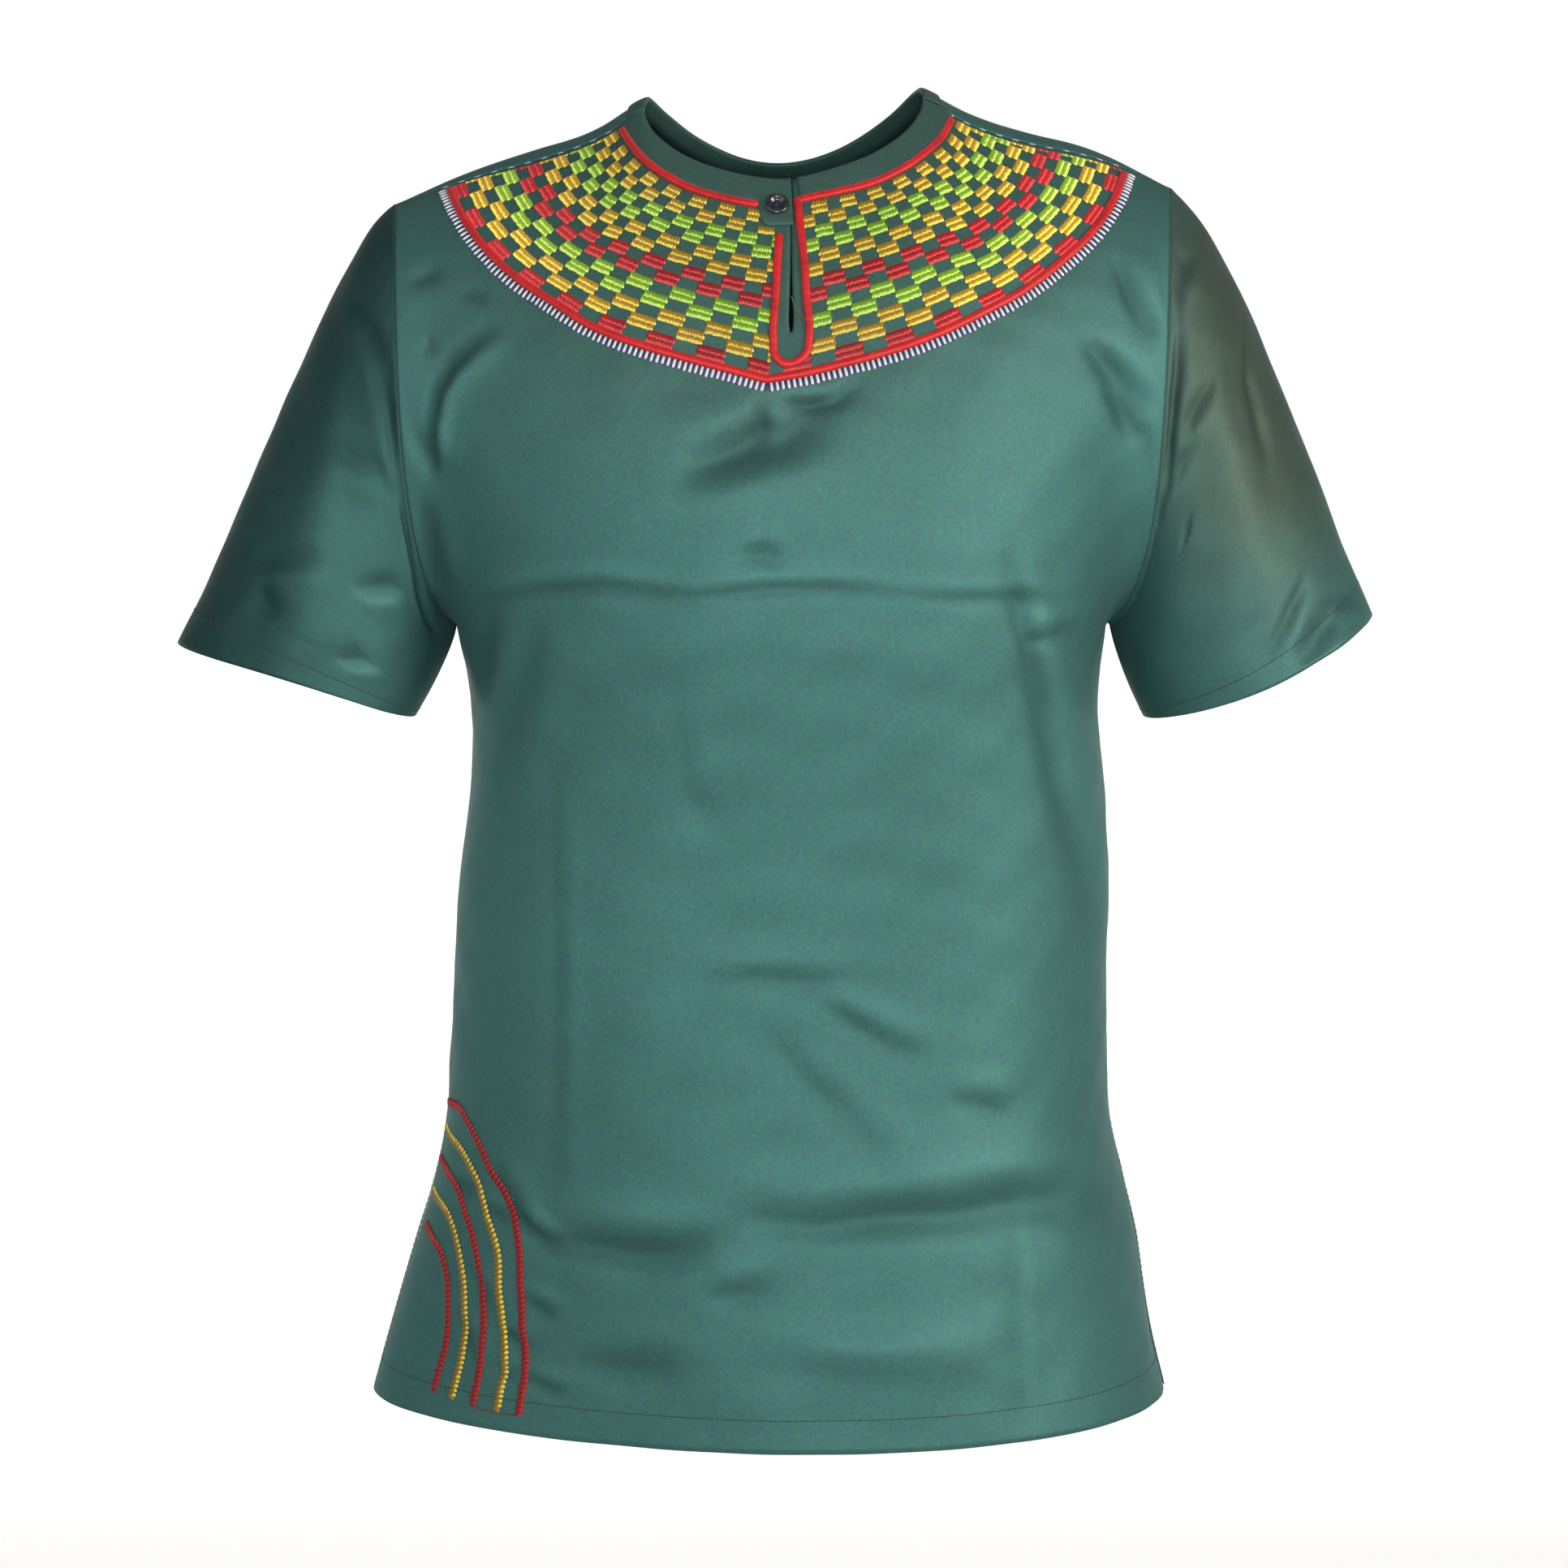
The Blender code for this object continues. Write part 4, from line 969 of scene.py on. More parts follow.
# Where light and shade are painted into the cloth: painted shade over the front's yoke, painted
# light on the right sleeve and a warm painted sheen on the left sleeve. The middle and the reach
# of each spot.
FRONT_SHADE_SPOT = ((-0.002, -0.09, -0.01), (0.25, 0.30, 0.24))
RIGHT_LIGHT_SPOT = ((-0.196, -0.06, -0.32), (0.085, 0.15, 0.15))
LEFT_SHEEN_SPOT = ((0.262, -0.05, -0.13), (0.10, 0.20, 0.20))


def finish(name):
    """A material by name, made from the colours on first use."""
    if name in bpy.data.materials:
        return bpy.data.materials[name]
    dyes = bpy.context.scene.shirt_colours
    if name in THREADS:
        shades, looks = THREADS[name][:2], THREADS[name][2:]
        dark, light = (scaled(getattr(dyes, dye), share) for dye, share in shades)
        return thread_material(name, dark, light, *looks)
    cloth = dyes.cloth
    makers = {
        "cotton": lambda: cotton_material(name, cloth),
        # The front's yoke and bands: painted shade, darker and warmer round the spot
        "cotton_front": lambda: cotton_material(
            name, cloth, tuple(np.multiply(cloth, (0.97, 0.76, 0.68))), FRONT_SHADE_SPOT),
        # The right sleeve: painted shade all over, and painted light round its spot
        "cotton_sleeve_right": lambda: cotton_material(
            name, scaled(cloth, 0.42), scaled(cloth, 0.95), RIGHT_LIGHT_SPOT),
        # The left sleeve: a warm painted sheen round its spot
        "cotton_sleeve_left": lambda: cotton_material(name, cloth, dyes.sleeve_sheen, LEFT_SHEEN_SPOT),
        "red_cord": lambda: cord_material(name, dyes.cord),
        "black_plastic": lambda: plastic_material(name, dyes.button),
    }
    return makers[name]()


# ---------------------------------------------------------------- panels and sleeves
def turn_hem(j, level):
    """Turns up a grid's first rows as the hem: their v, and how far inside they lie."""
    place = np.minimum(j, len(HEM_TURN) - 1).astype(int)
    inside = j < len(HEM_TURN)
    v = np.where(inside, column(HEM_TURN, 0)[place] / TUBE, level)
    return v, np.where(inside, column(HEM_TURN, 1)[place], 0.0)


def row_levels(face, row, rows_below, rows_above, s):
    """v of a panel's rows, counted from the first one over the turned-up hem."""
    below = (row + 1) / (rows_below + 1)
    above = 1 + (row - rows_below) / rows_above * (1 - neck_cut(face, s))
    above = above - SHOULDER_TRIM * (above - 1) ** 4
    return np.where(row <= rows_below, np.minimum(below, 1), above)


def cut_slit(bm, middle, slit_row):
    """Parts a grid along its middle column and shifts the two sides a little apart."""

    def on_line(vert, low):
        return abs(vert.co.x - middle) < 0.01 and vert.co.y > low

    line = [e for e in bm.edges if all(on_line(v, slit_row - 0.5) for v in e.verts)]
    bmesh.ops.split_edges(bm, edges=line)
    for vert in bm.verts:
        if on_line(vert, slit_row + 0.5):
            centre = sum(f.calc_center_median().x for f in vert.link_faces)
            centre /= len(vert.link_faces)
            vert.co.x += 0.25 if centre > middle else -0.25


def build_panel(name, face, columns, rows_below, rows_above, material, thickness):
    """One panel from the turned-up hem to the shoulder seam, with its slit if it is the front."""
    turned = len(HEM_TURN)
    bm = index_grid(columns, turned + rows_below + rows_above)
    middle = columns // 2
    if face < 0:
        slit_s, slit_v = front_place([SLIT_X], [SLIT_BOTTOM_Z])
        share = (slit_v[0] - 1) / (1 - neck_cut(face, slit_s[0]))
        slit_row = turned + rows_below + int(round(share * rows_above))
        cut_slit(bm, middle, slit_row)
    i, j = grid_indices(bm)
    whole, j = np.round(i), np.round(j)
    shift = i - whole
    s = (2 * whole / columns - 1) * (1 - SIDE_TRIM)
    level = row_levels(face, j - turned, rows_below, rows_above, s)
    if face < 0:
        nearness = np.maximum(1 - np.abs(s) / NECK_S, 0) * soft_step((level - 1.2) / 0.2)
        line_s, _ = front_place(np.full(40, SLIT_X), np.linspace(-0.16, -0.05, 40))
        s = s + nearness * float(np.mean(line_s))
        level = row_levels(face, j - turned, rows_below, rows_above, s)
    v, inset = turn_hem(j, level)
    points = body_point(face, s, v, -inset)
    if face < 0:
        on_slit = (np.abs(whole - middle) < 0.5) & (j > slit_row - 0.5)
        points[:, 0] = np.where(on_slit, SLIT_X, points[:, 0])
        gap = smooth_at(SLIT_WIDTHS, 1, points[:, 2])
        points[:, 0] += np.where(np.abs(shift) > 0.1, np.sign(shift), 0.0) * 0.5 * gap
    rise = np.where(v < 1, v * TUBE, TUBE + (v - 1) * BODY_RISE)
    uvs = np.stack((s * HALF_GIRTH, rise - 2 * inset), axis=-1)
    if face > 0:
        bmesh.ops.reverse_faces(bm, faces=bm.faces)
    piece = finish_mesh(name, bm, points, uvs, material, body_shade(face, s, points))
    give_wall(piece, thickness)
    return piece


def build_sleeve(name, side, material, thickness):
    """A sleeve from its tucked-in head, under the body's edge, to its turned-up cuff."""
    tucked, turned = len(HEAD_TUCK) - 1, len(HEM_TURN)
    bm = index_grid(SLEEVE_AROUND, tucked + SLEEVE_ALONG + turned)
    i, j = whole_indices(bm)
    turn = np.mod(0.5 + i / SLEEVE_AROUND, 1.0)
    hem = np.clip(j - tucked - SLEEVE_ALONG, 0, turned)
    up, inset = (np.append(0.0, column(HEM_TURN, k)[::-1])[hem] for k in (0, 1))
    along = np.clip((j - tucked) / SLEEVE_ALONG, 0, 1) - up / SLEEVE_LENGTH
    points = sleeve_point(side, turn, along, -inset)
    head = np.clip(tucked - j, 0, tucked)
    reach, depth = (column(HEAD_TUCK, k)[head] for k in (0, 1))
    s = side * (1 - reach)
    front = turn <= 0.5
    level = np.clip(np.where(front, 2 - 2 * turn, 2 * turn), 1.0, 2 - 0.5 * SHOULDER_TRIM)
    tuck = np.where(front[:, None], body_point(-1, s, level, -depth),
                    body_point(1, s, level, -depth))
    points = np.where((head > 0)[:, None], tuck, points)
    uvs = np.stack((i / SLEEVE_AROUND * SLEEVE_GIRTH, along * SLEEVE_LENGTH), axis=-1)
    shade = crease_shade(sleeve_folds(side), turn * SLEEVE_GIRTH, along * SLEEVE_LENGTH)
    if side < 0:
        bmesh.ops.reverse_faces(bm, faces=bm.faces)
    piece = finish_mesh(name, bm, points, uvs, material, shade)
    close_seam(piece)
    give_wall(piece, thickness)
    return piece


def close_seam(piece):
    """Joins a tube's two long edges into one."""
    bm = bmesh.new()
    bm.from_mesh(piece.data)
    bmesh.ops.remove_doubles(bm, verts=bm.verts, dist=1e-6)
    bm.to_mesh(piece.data)
    bm.free()
    piece.data.shade_smooth()


def seam_allowance(name, lines, material):
    """A pressed seam allowance: a narrow strip through lines on the inside along a seam."""
    places = np.stack(lines)
    bm = index_grid(places.shape[1] - 1, places.shape[0] - 1)
    i, j = whole_indices(bm)
    uvs = np.stack((i * 0.003, j * 0.003), axis=-1)
    piece = finish_mesh(name, bm, places[j, i], uvs, material)
    give_wall(piece, 0.0004)
    wear(piece, "green_cotton")


# ---------------------------------------------------------------- neck bands
def neck_edge(face, turn):
    s = NECK_S * np.sin(turn * math.pi / 2)
    return s, np.minimum(2 - neck_cut(face, s), PANEL_TOP)


def neck_outward(face, turn):
    low = body_base(face, *neck_edge(face, np.maximum(turn - 0.02, -1)))
    high = body_base(face, *neck_edge(face, np.minimum(turn + 0.02, 1)))
    along = unit(high - low)
    return np.cross(surface_normal(face, *neck_edge(face, turn)), along) * face


def cord_distance(face, edge):
    """How far the neck cord's middle lies from places on the neck edge."""
    if face > 0:
        return np.full(len(edge[0]), BAND_REACH)
    line = np.concatenate([body_base(-1, *front_place(*route(table, 0.001)))
                           for table in (NECK_CORD_RIGHT, NECK_CORD_LEFT)])
    gaps = np.linalg.norm(body_base(-1, *edge)[:, None] - line[None], axis=-1)
    return np.clip(gaps.min(axis=1), BAND_REACH, BAND_WIDEST)


def build_band(name, face, turns, tab=False, lift=0.0):
    """A folded band over part of the neck edge, with the button tab at its end if asked."""
    bm = index_grid(len(turns) - 1, len(BAND_SECTION) - 1)
    i, j = whole_indices(bm)
    turn = turns[i]
    section_out = column(BAND_SECTION, 0)[j]
    outside = j >= BAND_OUTSIDE
    direction = neck_outward(face, turn)
    edge = neck_edge(face, turn)
    stretch = (cord_distance(face, edge) - BAND_FLAT) / (BAND_REACH - BAND_FLAT)
    out = np.where(outside & (section_out > BAND_FLAT),
                   BAND_FLAT + (section_out - BAND_FLAT) * stretch, section_out)
    s, v = walk(face, *edge, direction, out)
    if tab:
        here = body_base(face, *walk(face, *edge, direction, np.full(len(turn), BAND_REACH)))
        curve = np.maximum(TAB_X + TAB_CORNER - here[:, 0], 0)
        low_z = TAB_Z + TAB_CORNER - np.sqrt(np.maximum(TAB_CORNER ** 2 - curve ** 2, 0))
        tab_s, tab_v = front_place(here[:, 0], low_z)
        reach = np.clip(section_out / BAND_REACH, 0, 1)
        widened = (here[:, 0] > TAB_X) & outside
        s = np.where(widened, edge[0] + (tab_s - edge[0]) * reach, s)
        v = np.where(widened, edge[1] + (tab_v - edge[1]) * reach, v)
    points = body_point(face, s, v, column(BAND_SECTION, 1)[j] + lift)
    uvs = np.stack((turn * 0.11, out), axis=-1)
    if face < 0:
        bmesh.ops.reverse_faces(bm, faces=bm.faces)
    piece = finish_mesh(f"band_{name}", bm, points, uvs, finish("cotton_front"))
    give_wall(piece, BAND_WALL)
    wear(piece, "green_cotton", f"neck_band_{name}")


# ---------------------------------------------------------------- cords and stitches
def travelled_at(points):
    """The length travelled to each of a line's points."""
    spans = np.linalg.norm(np.diff(points, axis=0), axis=1)
    return np.concatenate(((0,), np.cumsum(spans)))


def sample(values, travelled, where):
    """A line's values at lengths along it."""
    return np.stack([np.interp(where, travelled, values[:, k]) for k in range(3)], axis=-1)


def route(table, step):
    """Places a step apart on a smooth curve through a table's places, sharp at the V."""
    if V_POINT in table[1:-1]:
        corner = table.index(V_POINT)
        halves = route(table[:corner + 1], step), route(table[corner:], step)
        return tuple(np.concatenate((a, b[1:])) for a, b in zip(*halves))
    x, z = column(table, 0), column(table, 1)
    length = np.concatenate(((0,), np.cumsum(np.hypot(np.diff(x), np.diff(z)))))
    rows = tuple(zip(length, x, z))
    count = int(round(length[-1] / step))
    places = np.linspace(0, length[-1], count + 1)
    return smooth_at(rows, 1, places), smooth_at(rows, 2, places)


def path_frame(table, step):
    """A route's places, normals, sideways directions and travelled length on the front."""
    s, v = front_place(*route(table, step))
    points = body_point(-1, s, v)
    normals = surface_normal(-1, s, v)
    ahead = unit(np.gradient(points, axis=0))
    return points, normals, unit(np.cross(ahead, normals)), travelled_at(points)


def build_cord(name, table, material, width=CORD_WIDTH, height=CORD_HEIGHT):
    """A satin cord: a half-round section run along its route, with rounded ends."""
    points, normals, sideways, travelled = path_frame(table, min(0.0010, 0.5 * width))
    bm = index_grid(len(points) - 1, len(CORD_SECTION) - 1)
    i, j = whole_indices(bm)
    across, high = column(CORD_SECTION, 0)[j], column(CORD_SECTION, 1)[j]
    from_end = np.minimum(travelled, travelled[-1] - travelled)
    taper = np.sqrt(np.clip(from_end / (CORD_ROUNDING * width), 0.02, 1))[i]
    depth, fast, slow = CORD_WAVES
    uneven = 1 + depth * np.sin(travelled * fast) * np.sin(travelled * slow + 1)
    half = 0.5 * width * taper * uneven[i]
    places = points[i] + sideways[i] * (across * half)[:, None]
    places = places + normals[i] * (high * height * taper * uneven[i] + CORD_BED)[:, None]
    uvs = np.stack((travelled[i], j * 0.0008), axis=-1)
    return finish_mesh(name, bm, places, uvs, material)


def run_of_stitches(places, normals, length, gap):
    """Starts, ends and normals of running stitches along a line of places."""
    travelled = travelled_at(places)
    begin = np.arange(0, travelled[-1] - length, length + gap)
    return (sample(places, travelled, begin), sample(places, travelled, begin + length),
            unit(sample(normals, travelled, begin + length / 2)))


def panel_run(face, s, v, height, length, gap):
    """Running stitches along a line on a panel."""
    s, v = np.broadcast_arrays(s, v)
    return run_of_stitches(body_point(face, s, v, height), surface_normal(face, s, v), length,
                           gap)


def join_runs(runs):
    return tuple(np.concatenate([run[k] for run in runs]) for k in range(3))


def guide_line(table):
    """(s, v) along a line on the front, with the length travelled."""
    s, v = front_place(*route(table, 0.002))
    return s, v, travelled_at(body_base(-1, s, v))


def check_guides(side):
    """The neck cord's and the border's lines of one half, from the centre outward."""
    cord, start_z = (NECK_CORD_RIGHT, -0.0655) if side < 0 else (NECK_CORD_LEFT, -0.0645)
    border = tuple(row for row in YOKE_BORDER if side * (row[0] - V_POINT[0]) >= 0)
    return ((0.0, start_z), *reversed(cord)), border[::side]


def check_place(side, t, w):
    """(s, v) at a share t of the way from neck cord to border, on column line w."""
    ends = []
    for line, first, size in zip(check_guides(side), FIRST_COLUMN[side],
                                 (INNER_COLUMN, OUTER_COLUMN)):
        s, v, run = guide_line(line)
        where = np.clip(first + (w - 0.5) * size, 0, run[-1])
        ends.append((np.interp(where, run, s), np.interp(where, run, v)))
    (s0, v0), (s1, v1) = ends
    return s0 + (s1 - s0) * t, v0 + (v1 - v0) * t


def keyhole_edge(side, z):
    """x of the keyhole cord's outer edge at heights z, on one side."""
    rows = sorted((row[1], row[0]) for row in KEYHOLE_CORD
                  if (row[0] < 0 if side < 0 else row[0] > 0.005))
    return smooth_at(rows, 1, z) + side * 0.8 * (0.5 * CORD_WIDTH)


def check_strands(thread):
    """Both ends of one colour's stitches in the yoke, with their widths and heights.

    Each end is given as its side, its share of the way outward and its column line.
    """
    dice = np.random.default_rng(CHECK_SEEDS[thread])
    bands = len(CHECK_BANDS)
    starts, ends, widths, heights = [], [], [], []
    for side in (-1, 1):
        for band, col in itertools.product(range(bands), COLUMN_NUMBERS):
            if CHECK_BANDS[band] != thread or (band + col) % 2:
                continue
            width = INNER_COLUMN + (OUTER_COLUMN - INNER_COLUMN) * band / (bands - 1)
            count = int(round(width / STITCH_PITCH))
            number = np.arange(count)
            spread = (number + 0.5) / count * BLOCK_SPREAD + BLOCK_START
            for rib, (fringe, lean) in enumerate(zip(RIB_FRINGES, RIB_LEANS)):
                fringe = fringe * (number % 2) if rib == 0 else fringe
                low = (band + RIB_STEP * rib) / bands
                high = (band + RIB_STEP * rib + RIB_LENGTH + fringe) / bands
                rough = dice.normal(0, ROUGHNESS, (4, count))
                low, high = (CHECK_TOP + (CHECK_BOTTOM - CHECK_TOP) * share
                             for share in (low + rough[0] * ROUGH_START,
                                           high + rough[1] * ROUGH_END))
                w0 = col + spread + lean / 2 + rough[2] * ROUGH_ACROSS
                w1 = col + spread - lean / 2 + rough[3] * ROUGH_ACROSS
                starts.append((np.full(count, side), low, w0))
                ends.append((np.full(count, side), high, w1))
                widths.append(np.full(count, STITCH_COVER * width / count))
                heights.append(np.full(count, BLOCK_HEIGHT - RIB_DROP * rib))
    return (join_runs(starts), join_runs(ends), np.concatenate(widths),
            np.concatenate(heights))


def lay_checks(thread, material):
    """One colour's blocks, leaving out what would cross the keyhole, the tab or the seams."""
    starts, ends, widths, heights = check_strands(thread)
    laid = []
    for side, t, w in (starts, ends):
        s, v = np.empty_like(t), np.empty_like(t)
        for half in (-1, 1):
            here = side == half
            s[here], v[here] = check_place(half, t[here], w[here])
        laid.append((s, v))
    side, ((s0, v0), (s1, v1)) = starts[0], laid
    begin, end = body_base(-1, s0, v0), body_base(-1, s1, v1)
    middle = 0.5 * (begin + end)
    x, z = middle[:, 0], middle[:, 2]
    clear = np.where(side < 0, x < keyhole_edge(-1, z), x > keyhole_edge(1, z))
    under_tab = (x > TAB_X) & (x < TAB_RIGHT_X) & (z > TAB_Z)
    long_enough = np.linalg.norm(end - begin, axis=1) > MIN_STITCH
    keep = ((clear | (z < BELOW_KEYHOLE_Z)) & ~under_tab & long_enough
            & (np.maximum(v0, v1) < 2 - 2 * SHOULDER_TRIM))
    s0, v0, s1, v1 = s0[keep], v0[keep], s1[keep], v1[keep]
    normals = surface_normal(-1, 0.5 * (s0 + s1), 0.5 * (v0 + v1))
    return sewn_strands(f"check_{thread}", body_point(-1, s0, v0, 0.0001),
                        body_point(-1, s1, v1, 0.0001), normals, widths[keep],
                        heights[keep], material)


# ---------------------------------------------------------------- settings
class ShirtColours(bpy.types.PropertyGroup):
    """Dyes of the cloth, threads and button, with the threads' painted highlights and the left
    sleeve's painted sheen.
    """

    def dye(name, text, colour):
        return FloatVectorProperty(name=name, description=text, default=colour, size=3,
                                   min=0.0, max=1.0, subtype="COLOR")

    cloth: dye("Cloth", "Dye of the cotton", (0.044, 0.122, 0.113))
    # The next colour is a warm painted sheen, mixed in round a spot on the left sleeve.
    sleeve_sheen: dye("Weft", "Warm weft that shows on the left sleeve", (0.046, 0.07, 0.053))
    cord: dye("Cord", "Dye of the satin cords", (0.39, 0.006, 0.008))
    # Each thread's second dye is its painted highlight, towards the end of each stitch.
    red: dye("Red", "Red thread", (0.22, 0.005, 0.007))
    red_highlight: dye("Red light", "Red thread where it dips", (0.48, 0.03, 0.035))
    gold: dye("Gold", "Gold thread", (0.25, 0.142, 0.006))
    gold_highlight: dye("Gold light", "Gold thread where it dips", (0.56, 0.46, 0.06))
    green: dye("Green", "Lime thread", (0.12, 0.25, 0.01))
    green_highlight: dye("Green light", "Lime thread where it dips", (0.38, 0.6, 0.09))
    white: dye("White", "Thread of the ladder", (0.52, 0.54, 0.56))
    # The navy dye colours the strands between the ladder's bars and the button's thread.
    navy: dye("Navy", "Thread under the ladder", (0.005, 0.014, 0.055))
    button: dye("Button", "Plastic of the button", (0.006, 0.006, 0.008))


class ShirtSizes(bpy.types.PropertyGroup):
    """Sizes of the sewing."""

    cloth_thickness: FloatProperty(
        name="Cloth thickness", description="Thickness of one layer of cotton",
        default=0.0007, min=0.0002, max=0.0012, unit="LENGTH")
    stitch_length: FloatProperty(
        name="Stitch length", description="Length of one stitch of a hem",
        default=0.0028, min=0.001, max=0.006, unit="LENGTH")
    ladder_step: FloatProperty(
        name="Ladder step", description="Distance between two bars of the ladder stitch",
        default=0.0030, min=0.001, max=0.010, unit="LENGTH")
    bar_length: FloatProperty(
        name="Bar length", description="Length of a bar of the ladder stitch",
        default=0.0044, min=0.001, max=0.010, unit="LENGTH")
    arc_width: FloatProperty(
        name="Arc width", description="Width of an arc's zigzag at the hem",
        default=0.0052, min=0.001, max=0.010, unit="LENGTH")
    arc_step: FloatProperty(
        name="Arc step", description="Distance between the teeth of a sewn arc",
        default=0.0028, min=0.001, max=0.010, unit="LENGTH")


# ---------------------------------------------------------------- operators
SIDES = ((-1, "right"), (1, "left"))


class SHIRT_OT_panels(bpy.types.Operator):
    """Cuts and folds the front and the back panel"""

    bl_idname = "shirt.panels"
    bl_label = "Panels"

    def execute(self, context):
        thickness = context.scene.shirt_sizes.cloth_thickness
        cotton = finish("cotton")
        front = build_panel("front_cloth", -1, FRONT_COLUMNS, FRONT_ROWS_BELOW,
                            FRONT_ROWS_ABOVE, finish("cotton_front"), thickness)
        back = build_panel("back_cloth", 1, BACK_COLUMNS, BACK_ROWS_BELOW,
                           BACK_ROWS_ABOVE, cotton, thickness)
        wear(front, "green_cotton", "front_panel")
        wear(back, "green_cotton", "back_panel")
        return {"FINISHED"}


class SHIRT_OT_sleeves(bpy.types.Operator):
    """Sets the two sleeves into their armholes"""

    bl_idname = "shirt.sleeves"
    bl_label = "Sleeves"

    def execute(self, context):
        thickness = context.scene.shirt_sizes.cloth_thickness
        for side, name in SIDES:
            cotton = finish(f"cotton_sleeve_{name}")
            sleeve = build_sleeve(f"sleeve_cloth_{name}", side, cotton, thickness)
            wear(sleeve, "green_cotton", f"sleeve_{name}")
        return {"FINISHED"}


class SHIRT_OT_seams(bpy.types.Operator):
    """Presses the seam allowances on the inside"""

    bl_idname = "shirt.seams"
    bl_label = "Seam allowances"

    def execute(self, context):
        cotton = finish("cotton")
        v = np.linspace((VENT_TOP_Z - HEM_Z) / TUBE, 1.0, 90)
        for side, name in SIDES:
            lines = [body_point(face, side * (1 - reach) + 0 * v, v, ALLOWANCE_HEIGHT)
                     for face, reach in SIDE_ALLOWANCE]
            seam_allowance(f"side_allowance_{name}", lines, cotton)
            s = side * np.linspace(NECK_S + 0.035, 0.995, 60)
            lines = [body_point(face, s, 2 - reach + 0 * s, ALLOWANCE_HEIGHT)
                     for face, reach in SHOULDER_ALLOWANCE]
            seam_allowance(f"shoulder_allowance_{name}", lines, cotton)
        return {"FINISHED"}


class SHIRT_OT_bands(bpy.types.Operator):
    """Folds the bands over the neck edge, with the button tab"""

    bl_idname = "shirt.bands"
    bl_label = "Neck bands"

    def execute(self, context):
        right = np.concatenate((np.linspace(*RIGHT_BAND[:2], 70),
                                np.linspace(*RIGHT_BAND[2:], 50)))
        build_band("right", -1, right, tab=True, lift=0.0002)
        build_band("left", -1, np.linspace(*LEFT_BAND, 90))
        build_band("back", 1, np.linspace(-1, 1, 130), lift=0.0002)
        return {"FINISHED"}


class SHIRT_OT_cords(bpy.types.Operator):
    """Lays the red satin cords round the neck, the keyhole and the yoke"""

    bl_idname = "shirt.cords"
    bl_label = "Satin cords"

    def execute(self, context):
        red = finish("red_cord")
        for name, table in (("neck_cord_right", NECK_CORD_RIGHT),
                            ("neck_cord_left", NECK_CORD_LEFT),
                            ("keyhole_cord", KEYHOLE_CORD),
                            ("yoke_border_cord", YOKE_BORDER)):
            wear(build_cord(f"satin_{name}", table, red), "red_satin", name)
        return {"FINISHED"}


class SHIRT_OT_checks(bpy.types.Operator):
    """Embroiders the gold, green and red checks of the yoke"""

    bl_idname = "shirt.checks"
    bl_label = "Yoke checks"

    def execute(self, context):
        for thread in ("gold", "green", "red"):
            wear(lay_checks(thread, finish(f"{thread}_thread")), "red_satin")
        return {"FINISHED"}


class SHIRT_OT_ladder(bpy.types.Operator):
    """Sews the ladder stitch outside the yoke's border"""

    bl_idname = "shirt.ladder"
    bl_label = "Ladder stitch"

    def execute(self, context):
        sizes = context.scene.shirt_sizes
        points, normals, sideways, travelled = path_frame(YOKE_BORDER, 0.001)
        dice = np.random.default_rng(21)
        where = np.arange(0.0008, travelled[-1], sizes.ladder_step)
        # Dark navy strands fill the gaps between the white bars, lower and partly under them
        for colour, shift, width, length, height in (
                ("navy", 0.5, 0.0021, sizes.bar_length + 0.0002, 0.0003),
                ("white", 0.0, 0.0015, sizes.bar_length, 0.0008)):
            spots = where + shift * sizes.ladder_step
            base, normal = (sample(values, travelled, spots) for values in (points, normals))
            out = unit(sample(sideways, travelled, spots))
            uneven = dice.normal(0, 0.00018, (len(spots), 1))
            begin = base + out * (0.5 * CORD_WIDTH - 0.0003) + normal * 0.0002
            end = base + out * (0.5 * CORD_WIDTH + length + uneven) + normal * 0.0002
            bars = sewn_strands(f"ladder_{colour}", begin, end, unit(normal), width, height,
                                finish(f"{colour}_thread"))
            wear(bars, "red_satin")
        return {"FINISHED"}


class SHIRT_OT_arcs(bpy.types.Operator):
    """Sews the zigzag arcs at the right side of the hem"""

    bl_idname = "shirt.arcs"
    bl_label = "Hem arcs"

    def execute(self, context):
        half = 0.5 * context.scene.shirt_sizes.arc_width
        pitch = context.scene.shirt_sizes.arc_step
        for thread in ("red", "gold"):
            zigzag, padding = [], []
            for places in (places for colour, places in HEM_ARCS if colour == thread):
                points, normals, sideways, travelled = path_frame(places, 0.001)
                where = np.arange(ARC_END * pitch, travelled[-1] - ARC_END * pitch, pitch)
                left, right = where + ARC_LEAN * pitch, where - ARC_LEAN * pitch
                begin = (sample(points, travelled, left)
                         + unit(sample(sideways, travelled, left)) * half)
                end = (sample(points, travelled, right)
                       - unit(sample(sideways, travelled, right)) * half)
                normal = unit(sample(normals, travelled, where))
                zigzag.append((begin + normal * 0.0003, end + normal * 0.0003, normal))
                where = np.arange(0.0, travelled[-1], 0.5 * pitch)
                normal = unit(sample(normals, travelled, where))
                side = unit(sample(sideways, travelled, where)) * half
                middle = sample(points, travelled, where) + normal * 0.0001
                padding.append((middle + side * PADDING_REACH[0],
                                middle - side * PADDING_REACH[1], normal))
            for name, runs, width, height, kind in (
                    ("zigzag", zigzag, ARC_THREAD, ARC_HEIGHT, "arc"),
                    ("padding", padding, PADDING_THREAD, PADDING_HEIGHT, "padding")):
                arcs = sewn_strands(f"arcs_{name}_{thread}", *join_runs(runs), width * pitch,
                                    height, finish(f"{thread}_{kind}_thread"))
                wear(arcs, "red_satin")
        return {"FINISHED"}


